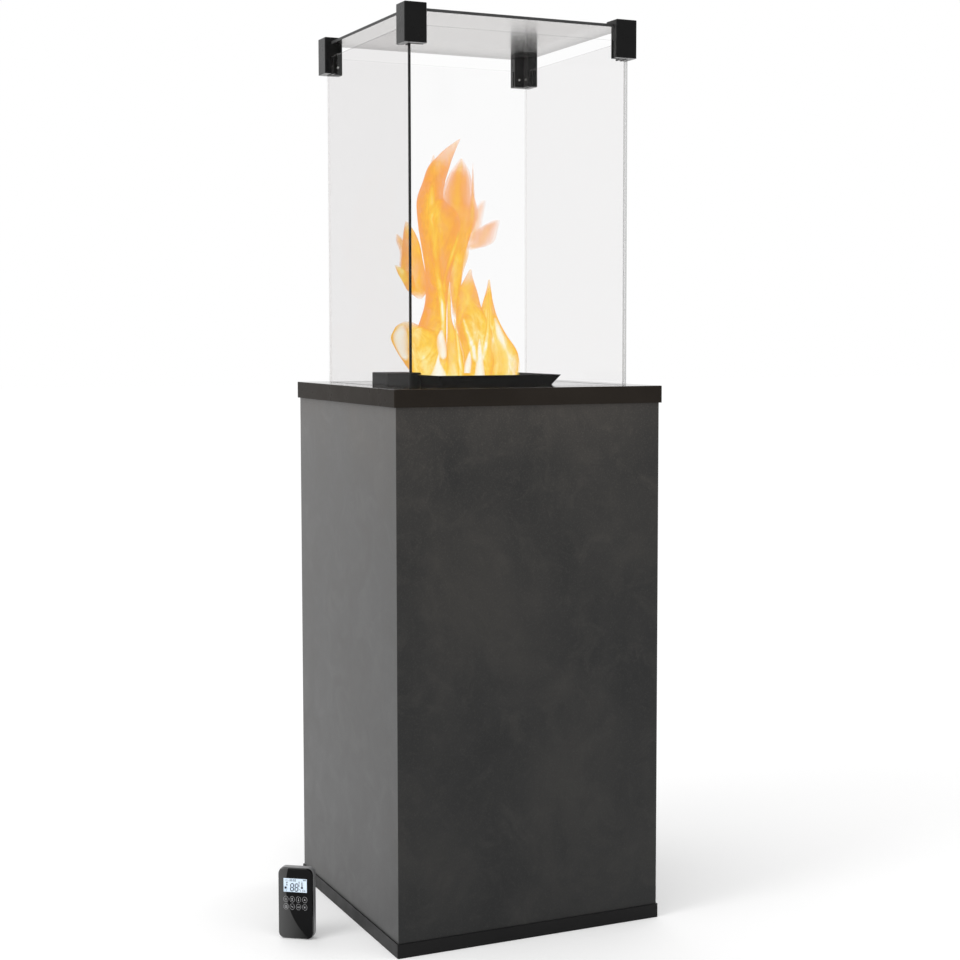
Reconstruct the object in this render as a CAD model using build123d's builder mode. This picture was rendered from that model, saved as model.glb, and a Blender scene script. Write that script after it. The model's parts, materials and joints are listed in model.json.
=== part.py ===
from build123d import *
import math
import os

os.makedirs("parts", exist_ok=True)

# An outdoor gas heater: a square stone-clad cabinet that hides the gas bottle and the controls,
# with a burner in its top plate inside four glass panes and under a glass roof.
# Millimetres, +Z up, front at -Y, origin at the centre of the base's underside.

# ---------------------------------------------------------------- driving dimensions
TOTAL_HEIGHT = 1595.0
PLATE_SIDE = 506.0  # top plate over its folded rim
PLATE_TOP = 958.0  # height of the top plate's upper face
PLATE_RIM = 30.0  # depth of the folded rim
CABINET_SIDE = 498.0  # over the stone panels
BASE_SIDE = 503.0
BASE_HEIGHT = 24.0
SHEET = 2.0  # steel sheet
PANEL = 10.0  # stone panel
TUBE = 22.0  # square frame tube
TUBE_WALL = 2.0
GLASS = 5.0
GLASS_SIDE = 412.0  # over the panes
EXHAUST_GAP = 22.5  # between the panes and the roof
CLAMP_SIDE = 40.0
CLAMP_HEIGHT = 66.0
CLAMP_OUTER = 218.0  # centre to the clamp's outer face
CLAMP_CAP = 7.5  # metal above the roof
CLAMP_LIP = 3.5  # metal inside the panes
TRAY_TOP = 240.0  # burner tray, outside
TRAY_BOTTOM = 215.0
TRAY_HEIGHT = 18.0
PIVOT_CLEARANCE = 0.08  # radial, round every turning shaft
FOLD_R = 2.5  # outside corner of folded sheet
PAST = 1.0  # how far a cut runs past the metal it opens

# ---------------------------------------------------------------- derived dimensions
BASE_HALF = BASE_SIDE / 2
PLATE_HALF = PLATE_SIDE / 2
CABINET_HALF = CABINET_SIDE / 2
PANEL_INNER = CABINET_HALF - PANEL
POST_INNER = PANEL_INNER - TUBE
POST_CENTRE = PANEL_INNER - TUBE / 2
UNDER_PLATE = PLATE_TOP - SHEET
FRAME_HEIGHT = UNDER_PLATE - SHEET
REAR_POST_BACK = CABINET_HALF - SHEET
REAR_POST_CENTRE = REAR_POST_BACK - TUBE / 2
REAR_POST_FRONT = REAR_POST_BACK - TUBE
RAIL_CENTRE_Z = UNDER_PLATE - TUBE / 2
GLASS_HALF = GLASS_SIDE / 2
GLASS_INNER = GLASS_HALF - GLASS
CLAMP_BOTTOM = TOTAL_HEIGHT - CLAMP_HEIGHT
ROOF_TOP = TOTAL_HEIGHT - CLAMP_CAP
ROOF_BOTTOM = ROOF_TOP - GLASS
GLASS_TOP = ROOF_BOTTOM - EXHAUST_GAP


def save(builder, name):
    """Label a finished piece and write it as its own STEP file."""
    builder.part.label = name
    export_step(builder.part, f"parts/{name}.step")


# ---------------------------------------------------------------- base tray and levelling feet
FOOT_AT = 190.0  # each foot's distance from the centre lines
FOOT_PAD_R = 16.0
FOOT_PAD_HEIGHT = 5.0
FOOT_STEM_R = 4.0
FOOT_STEM_TOP = 60.0
BRIDGE_SIDE = 50.0
BRIDGE_HEIGHT = 20.0
DRIVER_SLOT = 1.2  # screwdriver slot in a stem's top
DRIVER_SLOT_DEPTH = 2.0
DRAIN_PITCH_X = 90.0
DRAIN_PITCH_Y = 300.0
DRAIN_LENGTH = 60.0
DRAIN_WIDTH = 8.0

with BuildPart() as base_tray:
    with BuildSketch(Plane.XY):
        RectangleRounded(BASE_SIDE, BASE_SIDE, FOLD_R)
    extrude(amount=BASE_HEIGHT)
    with BuildSketch(Plane.XY.offset(SHEET)):
        Rectangle(BASE_SIDE - 2 * SHEET, BASE_SIDE - 2 * SHEET)
    extrude(amount=BASE_HEIGHT, mode=Mode.SUBTRACT)
    # a bridge over each foot carries its threaded stem
    with BuildSketch(Plane.XY.offset(SHEET)):
        with GridLocations(2 * FOOT_AT, 2 * FOOT_AT, 2, 2):
            Rectangle(BRIDGE_SIDE, BRIDGE_SIDE)
    extrude(amount=BRIDGE_HEIGHT)
    with BuildSketch(Plane.XY.offset(SHEET)):
        with GridLocations(2 * FOOT_AT, 2 * FOOT_AT, 2, 2):
            Rectangle(BRIDGE_SIDE - 2 * SHEET, BRIDGE_SIDE)
    extrude(amount=BRIDGE_HEIGHT - SHEET, mode=Mode.SUBTRACT)
    with BuildSketch(Plane.XY):
        with GridLocations(2 * FOOT_AT, 2 * FOOT_AT, 2, 2):
            Circle(FOOT_PAD_R + 1)
    extrude(amount=SHEET, mode=Mode.SUBTRACT)
    with BuildSketch(Plane.XY.offset(BRIDGE_HEIGHT)):
        with GridLocations(2 * FOOT_AT, 2 * FOOT_AT, 2, 2):
            Circle(FOOT_STEM_R + PIVOT_CLEARANCE)
    extrude(amount=SHEET, mode=Mode.SUBTRACT)
    # gas drains away through slots in the floor
    with BuildSketch(Plane.XY):
        with GridLocations(DRAIN_PITCH_X, DRAIN_PITCH_Y, 3, 2):
            SlotOverall(DRAIN_LENGTH, DRAIN_WIDTH)
    extrude(amount=SHEET, mode=Mode.SUBTRACT)
save(base_tray, "base_tray")


def levelling_foot(sign_x, sign_y):
    """A round pad on a threaded stem, level with the base's underside when wound in."""
    centre = (sign_x * FOOT_AT, sign_y * FOOT_AT)
    with BuildPart() as foot:
        with BuildSketch(Plane.XY):
            with Locations(centre):
                Circle(FOOT_PAD_R)
        extrude(amount=FOOT_PAD_HEIGHT)
        chamfer(foot.edges().filter_by(GeomType.CIRCLE).sort_by(Axis.Z)[-1], 1)
        with BuildSketch(Plane.XY.offset(FOOT_PAD_HEIGHT)):
            with Locations(centre):
                Circle(FOOT_STEM_R)
        extrude(amount=FOOT_STEM_TOP - FOOT_PAD_HEIGHT)
        with BuildSketch(Plane.XY.offset(FOOT_STEM_TOP - DRIVER_SLOT_DEPTH)):
            with Locations(centre):
                Rectangle(DRIVER_SLOT, 2 * FOOT_STEM_R)
        extrude(amount=DRIVER_SLOT_DEPTH, mode=Mode.SUBTRACT)
    return foot


CORNERS = {"front_left": (-1, -1), "front_right": (1, -1), "rear_left": (-1, 1), "rear_right": (1, 1)}
for corner, (side_x, side_y) in CORNERS.items():
    save(levelling_foot(side_x, side_y), f"levelling_foot_{corner}")

# ---------------------------------------------------------------- frame
with BuildPart() as corner_posts:
    with BuildSketch(Plane.XY.offset(SHEET)):
        with Locations(
            (-POST_CENTRE, -POST_CENTRE),
            (POST_CENTRE, -POST_CENTRE),
            (-POST_CENTRE, REAR_POST_CENTRE),
            (POST_CENTRE, REAR_POST_CENTRE),
        ):
            Rectangle(TUBE, TUBE)
            Rectangle(TUBE - 2 * TUBE_WALL, TUBE - 2 * TUBE_WALL, mode=Mode.SUBTRACT)
    extrude(amount=FRAME_HEIGHT)
save(corner_posts, "corner_posts")

with BuildPart() as top_rails:
    with BuildSketch(Plane.YZ.offset(-POST_INNER)):
        with Locations((-POST_CENTRE, RAIL_CENTRE_Z), (REAR_POST_CENTRE, RAIL_CENTRE_Z)):
            Rectangle(TUBE, TUBE)
            Rectangle(TUBE - 2 * TUBE_WALL, TUBE - 2 * TUBE_WALL, mode=Mode.SUBTRACT)
    extrude(amount=2 * POST_INNER)
    with BuildSketch(Plane.XZ.offset(POST_INNER)):
        with Locations((-POST_CENTRE, RAIL_CENTRE_Z), (POST_CENTRE, RAIL_CENTRE_Z)):
            Rectangle(TUBE, TUBE)
            Rectangle(TUBE - 2 * TUBE_WALL, TUBE - 2 * TUBE_WALL, mode=Mode.SUBTRACT)
    extrude(amount=-(POST_INNER + REAR_POST_FRONT))
save(top_rails, "top_rails")

# ---------------------------------------------------------------- service shelf for the gas controls
SHELF_TOP = 790.0
SHELF_BACK = 200.0
SHELF_FLANGE = 22.0
VALVE_X = 110.0
VALVE_Y = -60.0
VALVE_SPIGOT_R = 9.0
SHELF_VENTS_Y = 110.0
SHELF_VENT_PITCH_X = 110.0
SHELF_VENT_PITCH_Y = 40.0
SHELF_VENT_LENGTH = 80.0
SHELF_VENT_WIDTH = 12.0

with BuildPart() as service_shelf:
    with BuildSketch(Plane.XZ.offset(POST_INNER)):
        with Locations((0, SHELF_TOP - SHELF_FLANGE / 2)):
            Rectangle(2 * PANEL_INNER, SHELF_FLANGE)
        with Locations((0, SHELF_TOP - SHEET - SHELF_FLANGE / 2)):
            Rectangle(2 * PANEL_INNER - 2 * SHEET, SHELF_FLANGE, mode=Mode.SUBTRACT)
    extrude(amount=-(POST_INNER + SHELF_BACK))
    with BuildSketch(Plane.XY.offset(SHELF_TOP - SHEET)):
        with Locations((VALVE_X, VALVE_Y)):
            Circle(VALVE_SPIGOT_R + 1)
        with Locations((0, SHELF_VENTS_Y)):
            with GridLocations(SHELF_VENT_PITCH_X, SHELF_VENT_PITCH_Y, 3, 3):
                SlotOverall(SHELF_VENT_LENGTH, SHELF_VENT_WIDTH)
    extrude(amount=SHEET, mode=Mode.SUBTRACT)
save(service_shelf, "service_shelf")

# ---------------------------------------------------------------- stone panels
EDGE_BREAK = 1.2  # ground edge of a panel


def side_panel(sign_x):
    """A side panel, from the front panel's inner face to the open back of the cabinet."""
    with BuildPart() as panel:
        with BuildSketch(Plane.XY.offset(SHEET)):
            with Locations((sign_x * (PANEL_INNER + PANEL / 2), (CABINET_HALF - PANEL_INNER) / 2)):
                Rectangle(PANEL, CABINET_HALF + PANEL_INNER)
        extrude(amount=FRAME_HEIGHT)
        outer_edges = panel.edges().filter_by(Axis.Z).sort_by(Axis.Y)[-2:]
        chamfer(outer_edges, EDGE_BREAK)
    return panel


with BuildPart() as front_panel:
    with BuildSketch(Plane.XY.offset(SHEET)):
        with Locations((0, -PANEL_INNER - PANEL / 2)):
            Rectangle(CABINET_SIDE, PANEL)
    extrude(amount=FRAME_HEIGHT)
    chamfer(front_panel.edges().filter_by(Axis.Z).group_by(Axis.Y)[0], EDGE_BREAK)
save(front_panel, "front_panel")
save(side_panel(-1), "left_panel")
save(side_panel(1), "right_panel")

# ---------------------------------------------------------------- top plate, burner deck, glass channel
SEAL = 1.0  # thickness of the seal round the glass's foot
SLOT_OUTER = GLASS_HALF + SEAL
SLOT_INNER = GLASS_INNER - SEAL
RIM_ROUND = 1.4  # rounded top edge of the rim
CHANNEL_DEPTH = 12.0
DECK_CUT = 168.0
PILOT_X = -150.0
PILOT_Y = 8.0
PILOT_PITCH = 16.0
PILOT_HOLE_R = 4.0

with BuildPart() as top_plate:
    with BuildSketch(Plane.XY.offset(PLATE_TOP - PLATE_RIM)):
        RectangleRounded(PLATE_SIDE, PLATE_SIDE, FOLD_R)
    extrude(amount=PLATE_RIM)
    fillet(top_plate.faces().sort_by(Axis.Z)[-1].edges(), RIM_ROUND)
    with BuildSketch(Plane.XY.offset(PLATE_TOP - PLATE_RIM)):
        Rectangle(PLATE_SIDE - 2 * SHEET, PLATE_SIDE - 2 * SHEET)
    extrude(amount=PLATE_RIM - SHEET, mode=Mode.SUBTRACT)
    with BuildSketch(Plane.XY.offset(UNDER_PLATE)):
        Rectangle(2 * SLOT_OUTER, 2 * SLOT_OUTER)
    extrude(amount=SHEET, mode=Mode.SUBTRACT)
save(top_plate, "top_plate")

with BuildPart() as burner_deck:
    with BuildSketch(Plane.XY.offset(UNDER_PLATE)):
        Rectangle(2 * SLOT_INNER, 2 * SLOT_INNER)
        Rectangle(DECK_CUT, DECK_CUT, mode=Mode.SUBTRACT)
        with Locations((PILOT_X, PILOT_Y)):
            with GridLocations(1, PILOT_PITCH, 1, 3):
                Circle(PILOT_HOLE_R, mode=Mode.SUBTRACT)
    extrude(amount=SHEET)
save(burner_deck, "burner_deck")

with BuildPart() as glass_rail:
    with BuildSketch(Plane.XY.offset(UNDER_PLATE - CHANNEL_DEPTH)):
        Rectangle(2 * (SLOT_OUTER + SHEET), 2 * (SLOT_OUTER + SHEET))
        Rectangle(2 * (SLOT_INNER - SHEET), 2 * (SLOT_INNER - SHEET), mode=Mode.SUBTRACT)
    extrude(amount=CHANNEL_DEPTH)
    with BuildSketch(Plane.XY.offset(UNDER_PLATE - CHANNEL_DEPTH + SHEET)):
        Rectangle(2 * SLOT_OUTER, 2 * SLOT_OUTER)
        Rectangle(2 * SLOT_INNER, 2 * SLOT_INNER, mode=Mode.SUBTRACT)
    extrude(amount=CHANNEL_DEPTH, mode=Mode.SUBTRACT)
save(glass_rail, "glass_rail")

SEAL_BOTTOM = UNDER_PLATE - CHANNEL_DEPTH + SHEET
GLASS_BOTTOM = SEAL_BOTTOM + SEAL
with BuildPart() as glass_seal:
    with BuildSketch(Plane.XY.offset(SEAL_BOTTOM)):
        Rectangle(2 * SLOT_OUTER, 2 * SLOT_OUTER)
        Rectangle(2 * SLOT_INNER, 2 * SLOT_INNER, mode=Mode.SUBTRACT)
    extrude(amount=PLATE_TOP - SEAL_BOTTOM)
    with BuildSketch(Plane.XY.offset(GLASS_BOTTOM)):
        Rectangle(2 * GLASS_HALF, 2 * GLASS_HALF)
        Rectangle(2 * GLASS_INNER, 2 * GLASS_INNER, mode=Mode.SUBTRACT)
    extrude(amount=PLATE_TOP - GLASS_BOTTOM, mode=Mode.SUBTRACT)
save(glass_seal, "glass_seal")

# ---------------------------------------------------------------- glass panes and roof
PANE_CENTRE = GLASS_INNER + GLASS / 2
PANES = {
    "glass_front": (0, -PANE_CENTRE, GLASS_SIDE, GLASS),
    "glass_rear": (0, PANE_CENTRE, GLASS_SIDE, GLASS),
    "glass_left": (-PANE_CENTRE, 0, GLASS, 2 * GLASS_INNER),
    "glass_right": (PANE_CENTRE, 0, GLASS, 2 * GLASS_INNER),
}
for pane_name, (centre_x, centre_y, size_x, size_y) in PANES.items():
    with BuildPart() as pane:
        with BuildSketch(Plane.XY.offset(GLASS_BOTTOM)):
            with Locations((centre_x, centre_y)):
                Rectangle(size_x, size_y)
        extrude(amount=GLASS_TOP - GLASS_BOTTOM)
    save(pane, pane_name)

with BuildPart() as glass_roof:
    with BuildSketch(Plane.XY.offset(ROOF_BOTTOM)):
        Rectangle(GLASS_SIDE, GLASS_SIDE)
    extrude(amount=GLASS)
save(glass_roof, "glass_roof")

# ---------------------------------------------------------------- corner clamps
CLAMP_INNER = CLAMP_OUTER - CLAMP_SIDE
CLAMP_LIP_FACE = GLASS_INNER - CLAMP_LIP
SCREW_R = 2.0
SCREW_AT = CLAMP_INNER + 9.0
SCREW_Z = CLAMP_BOTTOM + 14.0
SCREW_OUT = 2.0  # how far a screw's end stands inside the lip
SOCKET_R = 1.1  # hexagon socket in a screw's end
SOCKET_DEPTH = 1.0
CLAMP_CORNER = 2.5
CLAMP_EDGE = 1.2
CLAMP_CUT = CLAMP_INNER - PAST


def corner_square(sign_x, sign_y, inner, outer):
    """A square in the corner, between two distances from the centre lines."""
    middle = (inner + outer) / 2
    with Locations((sign_x * middle, sign_y * middle)):
        Rectangle(outer - inner, outer - inner)


def screw_planes(sign_x, sign_y):
    """The planes on which a clamp's two screws press, each with its axis into the pane."""
    along_y = Plane((sign_x * SCREW_AT, sign_y * GLASS_INNER, SCREW_Z), z_dir=(0, -sign_y, 0))
    along_x = Plane((sign_x * GLASS_INNER, sign_y * SCREW_AT, SCREW_Z), z_dir=(-sign_x, 0, 0))
    return along_y, along_x


def corner_clamp(sign_x, sign_y):
    """A cast corner that holds the roof and the ends of two panes."""
    with BuildPart() as clamp:
        with BuildSketch(Plane.XY.offset(CLAMP_BOTTOM)):
            corner_square(sign_x, sign_y, CLAMP_INNER, CLAMP_OUTER)
        extrude(amount=CLAMP_HEIGHT)
        fillet(clamp.edges().filter_by(Axis.Z), CLAMP_CORNER)
        fillet(clamp.faces().sort_by(Axis.Z)[-1].edges(), CLAMP_EDGE)
        # open inner corner below the cap
        with BuildSketch(Plane.XY.offset(CLAMP_BOTTOM)):
            corner_square(sign_x, sign_y, CLAMP_CUT, CLAMP_LIP_FACE)
        extrude(amount=ROOF_TOP - CLAMP_BOTTOM, mode=Mode.SUBTRACT)
        # seat of the roof
        with BuildSketch(Plane.XY.offset(ROOF_BOTTOM)):
            corner_square(sign_x, sign_y, CLAMP_CUT, GLASS_HALF)
        extrude(amount=GLASS, mode=Mode.SUBTRACT)
        # slots of the panes
        with BuildSketch(Plane.XY.offset(CLAMP_BOTTOM)):
            corner_square(sign_x, sign_y, CLAMP_CUT, GLASS_HALF)
            middle = (CLAMP_CUT + GLASS_INNER) / 2
            lip_side = GLASS_INNER - CLAMP_CUT
            with Locations((sign_x * middle, sign_y * middle)):
                Rectangle(lip_side, lip_side, mode=Mode.SUBTRACT)
        extrude(amount=GLASS_TOP - CLAMP_BOTTOM, mode=Mode.SUBTRACT)
        for plane in screw_planes(sign_x, sign_y):
            with BuildSketch(plane):
                Circle(SCREW_R)
            extrude(amount=CLAMP_LIP, mode=Mode.SUBTRACT)
    return clamp


for corner, (side_x, side_y) in CORNERS.items():
    save(corner_clamp(side_x, side_y), f"corner_clamp_{corner}")

with BuildPart() as clamp_screws:
    for side_x, side_y in CORNERS.values():
        for screw_plane in screw_planes(side_x, side_y):
            with BuildSketch(screw_plane):
                Circle(SCREW_R)
            extrude(amount=CLAMP_LIP + SCREW_OUT)
            with BuildSketch(screw_plane.offset(CLAMP_LIP + SCREW_OUT - SOCKET_DEPTH)):
                RegularPolygon(SOCKET_R, 6)
            extrude(amount=SOCKET_DEPTH, mode=Mode.SUBTRACT)
save(clamp_screws, "clamp_screws")

# ---------------------------------------------------------------- burner
CHAMBER_SIDE = 160.0
CHAMBER_BOTTOM = 930.0
CHAMBER_FLANGE = 180.0
CHAMBER_CORNER = 6.0
HOLE_PITCH = 18.0
HOLE_R = 2.5
HOLES = 8  # along each side of the head
TRAY_FLOOR = PLATE_TOP + SHEET
FLANGE_TOP = TRAY_FLOOR + SHEET
VENTURI_R = 10.0
VENTURI_BORE = 8.0
VENTURI_BOTTOM = 872.0
AIR_SLOT_Z = VENTURI_BOTTOM + 18.0
AIR_SLOT_LENGTH = 14.0
AIR_SLOT_WIDTH = 8.0
INJECTOR_BOTTOM = 862.0
INJECTOR_HEX_R = 12.0
INJECTOR_PLUG = 6.0  # length inside the venturi tube
NOZZLE_R = 4.0
NOZZLE_LENGTH = 4.0
NOZZLE_TAPER = 15.0
NOZZLE_BORE_R = 0.8

with BuildPart() as burner_tray:
    with BuildSketch(Plane.XY.offset(PLATE_TOP)):
        Rectangle(TRAY_BOTTOM, TRAY_BOTTOM)
    with BuildSketch(Plane.XY.offset(PLATE_TOP + TRAY_HEIGHT)):
        Rectangle(TRAY_TOP, TRAY_TOP)
    loft()
    with BuildSketch(Plane.XY.offset(TRAY_FLOOR)):
        Rectangle(TRAY_BOTTOM - 2 * SHEET, TRAY_BOTTOM - 2 * SHEET)
    with BuildSketch(Plane.XY.offset(PLATE_TOP + TRAY_HEIGHT)):
        Rectangle(TRAY_TOP - 2 * SHEET, TRAY_TOP - 2 * SHEET)
    loft(mode=Mode.SUBTRACT)
    with BuildSketch(Plane.XY.offset(PLATE_TOP)):
        Rectangle(CHAMBER_SIDE + 2 * SEAL, CHAMBER_SIDE + 2 * SEAL)
    extrude(amount=SHEET, mode=Mode.SUBTRACT)
save(burner_tray, "burner_tray")

with BuildPart() as gas_chamber:
    with BuildSketch(Plane.XY.offset(CHAMBER_BOTTOM)):
        RectangleRounded(CHAMBER_SIDE, CHAMBER_SIDE, CHAMBER_CORNER)
    extrude(amount=FLANGE_TOP - CHAMBER_BOTTOM)
    with BuildSketch(Plane.XY.offset(TRAY_FLOOR)):
        Rectangle(CHAMBER_FLANGE, CHAMBER_FLANGE)
    extrude(amount=SHEET)
    with BuildSketch(Plane.XY.offset(CHAMBER_BOTTOM + SHEET)):
        RectangleRounded(CHAMBER_SIDE - 2 * SHEET, CHAMBER_SIDE - 2 * SHEET, CHAMBER_CORNER - SHEET)
    extrude(amount=FLANGE_TOP - CHAMBER_BOTTOM, mode=Mode.SUBTRACT)
    with BuildSketch(Plane.XY.offset(CHAMBER_BOTTOM)):
        Circle(VENTURI_BORE)
    extrude(amount=SHEET, mode=Mode.SUBTRACT)
save(gas_chamber, "gas_chamber")

with BuildPart() as burner_head:
    with BuildSketch(Plane.XY.offset(FLANGE_TOP)):
        Rectangle(CHAMBER_FLANGE, CHAMBER_FLANGE)
        with GridLocations(HOLE_PITCH, HOLE_PITCH, HOLES, HOLES):
            Circle(HOLE_R, mode=Mode.SUBTRACT)
    extrude(amount=SHEET)
save(burner_head, "burner_head")

with BuildPart() as venturi_tube:
    with BuildSketch(Plane.XY.offset(VENTURI_BOTTOM)):
        Circle(VENTURI_R)
        Circle(VENTURI_BORE, mode=Mode.SUBTRACT)
    extrude(amount=CHAMBER_BOTTOM - VENTURI_BOTTOM)
    with BuildSketch(Plane.XZ):
        with Locations((0, AIR_SLOT_Z)):
            SlotOverall(AIR_SLOT_LENGTH, AIR_SLOT_WIDTH, rotation=90)
    extrude(amount=VENTURI_R + PAST, both=True, mode=Mode.SUBTRACT)
save(venturi_tube, "venturi_tube")

with BuildPart() as injector:
    with BuildSketch(Plane.XY.offset(INJECTOR_BOTTOM)):
        RegularPolygon(INJECTOR_HEX_R, 6)
    extrude(amount=VENTURI_BOTTOM - INJECTOR_BOTTOM)
    with BuildSketch(Plane.XY.offset(VENTURI_BOTTOM)):
        Circle(VENTURI_BORE)
    extrude(amount=INJECTOR_PLUG)
    with BuildSketch(Plane.XY.offset(VENTURI_BOTTOM + INJECTOR_PLUG)):
        Circle(NOZZLE_R)
    extrude(amount=NOZZLE_LENGTH, taper=NOZZLE_TAPER)
    with BuildSketch(Plane.XY.offset(INJECTOR_BOTTOM)):
        Circle(NOZZLE_BORE_R)
    extrude(amount=VENTURI_BOTTOM + INJECTOR_PLUG + NOZZLE_LENGTH - INJECTOR_BOTTOM, mode=Mode.SUBTRACT)
save(injector, "injector")

# ---------------------------------------------------------------- pilot assembly
PILOT_COVER_X = (-176.0, -112.0)
PILOT_COVER_Y = (-24.0, 55.0)
PILOT_COVER_HEIGHT = 21.5
PILOT_COVER_CORNER = 1.5
PILOT_COVER_EDGE = 1.2
PILOT_BOTTOM = 945.0
PILOT_FLANGE_R = 6.5
# each rod's distance across the hood and its (radius, height) steps from the bottom
PILOT_RODS = {
    "pilot_burner": (0.0, [(3.0, 20.0), (5.0, 7.0)]),
    "ignition_electrode": (-PILOT_PITCH, [(3.2, 22.0), (1.0, 8.0)]),
    "thermocouple": (PILOT_PITCH, [(2.6, 24.0), (1.6, 6.0)]),
}

with BuildPart() as pilot_cover:
    cover_centre = (sum(PILOT_COVER_X) / 2, sum(PILOT_COVER_Y) / 2)
    cover_width = PILOT_COVER_X[1] - PILOT_COVER_X[0]
    cover_depth = PILOT_COVER_Y[1] - PILOT_COVER_Y[0]
    with BuildSketch(Plane.XY.offset(PLATE_TOP)):
        with Locations(cover_centre):
            Rectangle(cover_width, cover_depth)
    extrude(amount=PILOT_COVER_HEIGHT)
    fillet(pilot_cover.edges().filter_by(Axis.Z), PILOT_COVER_CORNER)
    fillet(pilot_cover.faces().sort_by(Axis.Z)[-1].edges(), PILOT_COVER_EDGE)
    with BuildSketch(Plane.XY.offset(PLATE_TOP)):
        with Locations(cover_centre):
            Rectangle(cover_width - 2 * SHEET, cover_depth - 2 * SHEET)
    extrude(amount=PILOT_COVER_HEIGHT - SHEET, mode=Mode.SUBTRACT)
    # the hood fits over the flared side of the burner tray
    with BuildSketch(Plane.XY.offset(PLATE_TOP)):
        Rectangle(TRAY_BOTTOM, TRAY_BOTTOM)
    with BuildSketch(Plane.XY.offset(PLATE_TOP + TRAY_HEIGHT)):
        Rectangle(TRAY_TOP, TRAY_TOP)
    loft(mode=Mode.SUBTRACT)
save(pilot_cover, "pilot_cover")


def pilot_rod(offset_y, steps):
    """A rod through the deck on a small flange, turned from (radius, height) steps."""
    with BuildPart() as rod:
        with BuildSketch(Plane.XY.offset(PLATE_TOP)):
            with Locations((PILOT_X, PILOT_Y + offset_y)):
                Circle(PILOT_FLANGE_R)
        extrude(amount=SHEET)
        level = PILOT_BOTTOM
        for radius, height in steps:
            with BuildSketch(Plane.XY.offset(level)):
                with Locations((PILOT_X, PILOT_Y + offset_y)):
                    Circle(radius)
            extrude(amount=height)
            level += height
    return rod


for rod_name, (rod_y, rod_steps) in PILOT_RODS.items():
    save(pilot_rod(rod_y, rod_steps), rod_name)

# ---------------------------------------------------------------- control valve, knobs and motor
VALVE_LEFT = 80.0
VALVE_RIGHT = 150.0
VALVE_FRONT = -90.0
VALVE_BACK = -30.0
VALVE_TOP = 846.0
SPIGOT_BOTTOM = 778.0
KNOB_Z = 820.0
MANUAL_X = 98.0
FLOW_X = 132.0
STEM_R = 4.0
STEM_LENGTH = 13.0
KNOB_GAP = 2.0
DIAL_DEPTH = 10.0
DIAL_ROUND = 1.5
GRIP_RISE = 6.0  # grip bar above the dial
GRIP_WIDTH = 6.0
GRIP_SHARE = 1.7  # grip bar's length over the dial's radius
GRIP_SUNK = 0.5  # grip bar's root inside the dial
MANUAL_R = 11.0
FLOW_R = 13.0
VALVE_CORNER = 4.0
MOTOR_WIDTH = 32.0
MOTOR_DEPTH = 40.0
GEARBOX_Y = -64.0
GEARBOX_HEIGHT = 18.0
MOTOR_Y = -60.0
MOTOR_R = 12.0
MOTOR_HEIGHT = 24.0
MOTOR_ROUND = 2.0

with BuildPart() as valve_body:
    with BuildSketch(Plane.XY.offset(SHELF_TOP)):
        with Locations(((VALVE_LEFT + VALVE_RIGHT) / 2, (VALVE_FRONT + VALVE_BACK) / 2)):
            Rectangle(VALVE_RIGHT - VALVE_LEFT, VALVE_BACK - VALVE_FRONT)
    extrude(amount=VALVE_TOP - SHELF_TOP)
    fillet(valve_body.edges().filter_by(Axis.Z), VALVE_CORNER)
    with BuildSketch(Plane.XY.offset(SPIGOT_BOTTOM)):
        with Locations((VALVE_X, VALVE_Y)):
            Circle(VALVE_SPIGOT_R)
    extrude(amount=SHELF_TOP - SPIGOT_BOTTOM)
    with BuildSketch(Plane.XZ.offset(-VALVE_BACK)):
        with Locations((MANUAL_X, KNOB_Z), (FLOW_X, KNOB_Z)):
            Circle(STEM_R)
    extrude(amount=-STEM_LENGTH)
save(valve_body, "valve_body")


def valve_knob(centre_x, radius):
    """A round knob with a raised grip bar, on a plain stem."""
    with BuildPart() as knob:
        with BuildSketch(Plane.XZ.offset(-(VALVE_BACK + KNOB_GAP))):
            with Locations((centre_x, KNOB_Z)):
                Circle(radius)
        extrude(amount=-DIAL_DEPTH)
        fillet(knob.edges().filter_by(GeomType.CIRCLE).sort_by(Axis.Y)[-1], DIAL_ROUND)
        with BuildSketch(Plane.XZ.offset(-(VALVE_BACK + KNOB_GAP + DIAL_DEPTH - GRIP_SUNK))):
            with Locations((centre_x, KNOB_Z)):
                SlotOverall(GRIP_SHARE * radius, GRIP_WIDTH, rotation=90)
        extrude(amount=-(GRIP_RISE + GRIP_SUNK))
        with BuildSketch(Plane.XZ.offset(-(VALVE_BACK + KNOB_GAP))):
            with Locations((centre_x, KNOB_Z)):
                Circle(STEM_R + PIVOT_CLEARANCE)
        extrude(amount=-(STEM_LENGTH - KNOB_GAP + GRIP_SUNK), mode=Mode.SUBTRACT)
    return knob


save(valve_knob(MANUAL_X, MANUAL_R), "manual_knob")
save(valve_knob(FLOW_X, FLOW_R), "flow_knob")

with BuildPart() as valve_motor:
    with BuildSketch(Plane.XY.offset(VALVE_TOP)):
        with Locations((FLOW_X, GEARBOX_Y)):
            RectangleRounded(MOTOR_WIDTH, MOTOR_DEPTH, VALVE_CORNER)
    extrude(amount=GEARBOX_HEIGHT)
    with BuildSketch(Plane.XY.offset(VALVE_TOP + GEARBOX_HEIGHT)):
        with Locations((FLOW_X, MOTOR_Y)):
            Circle(MOTOR_R)
    extrude(amount=MOTOR_HEIGHT)
    fillet(valve_motor.edges().filter_by(GeomType.CIRCLE).sort_by(Axis.Z)[-1], MOTOR_ROUND)
save(valve_motor, "valve_motor")

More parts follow.
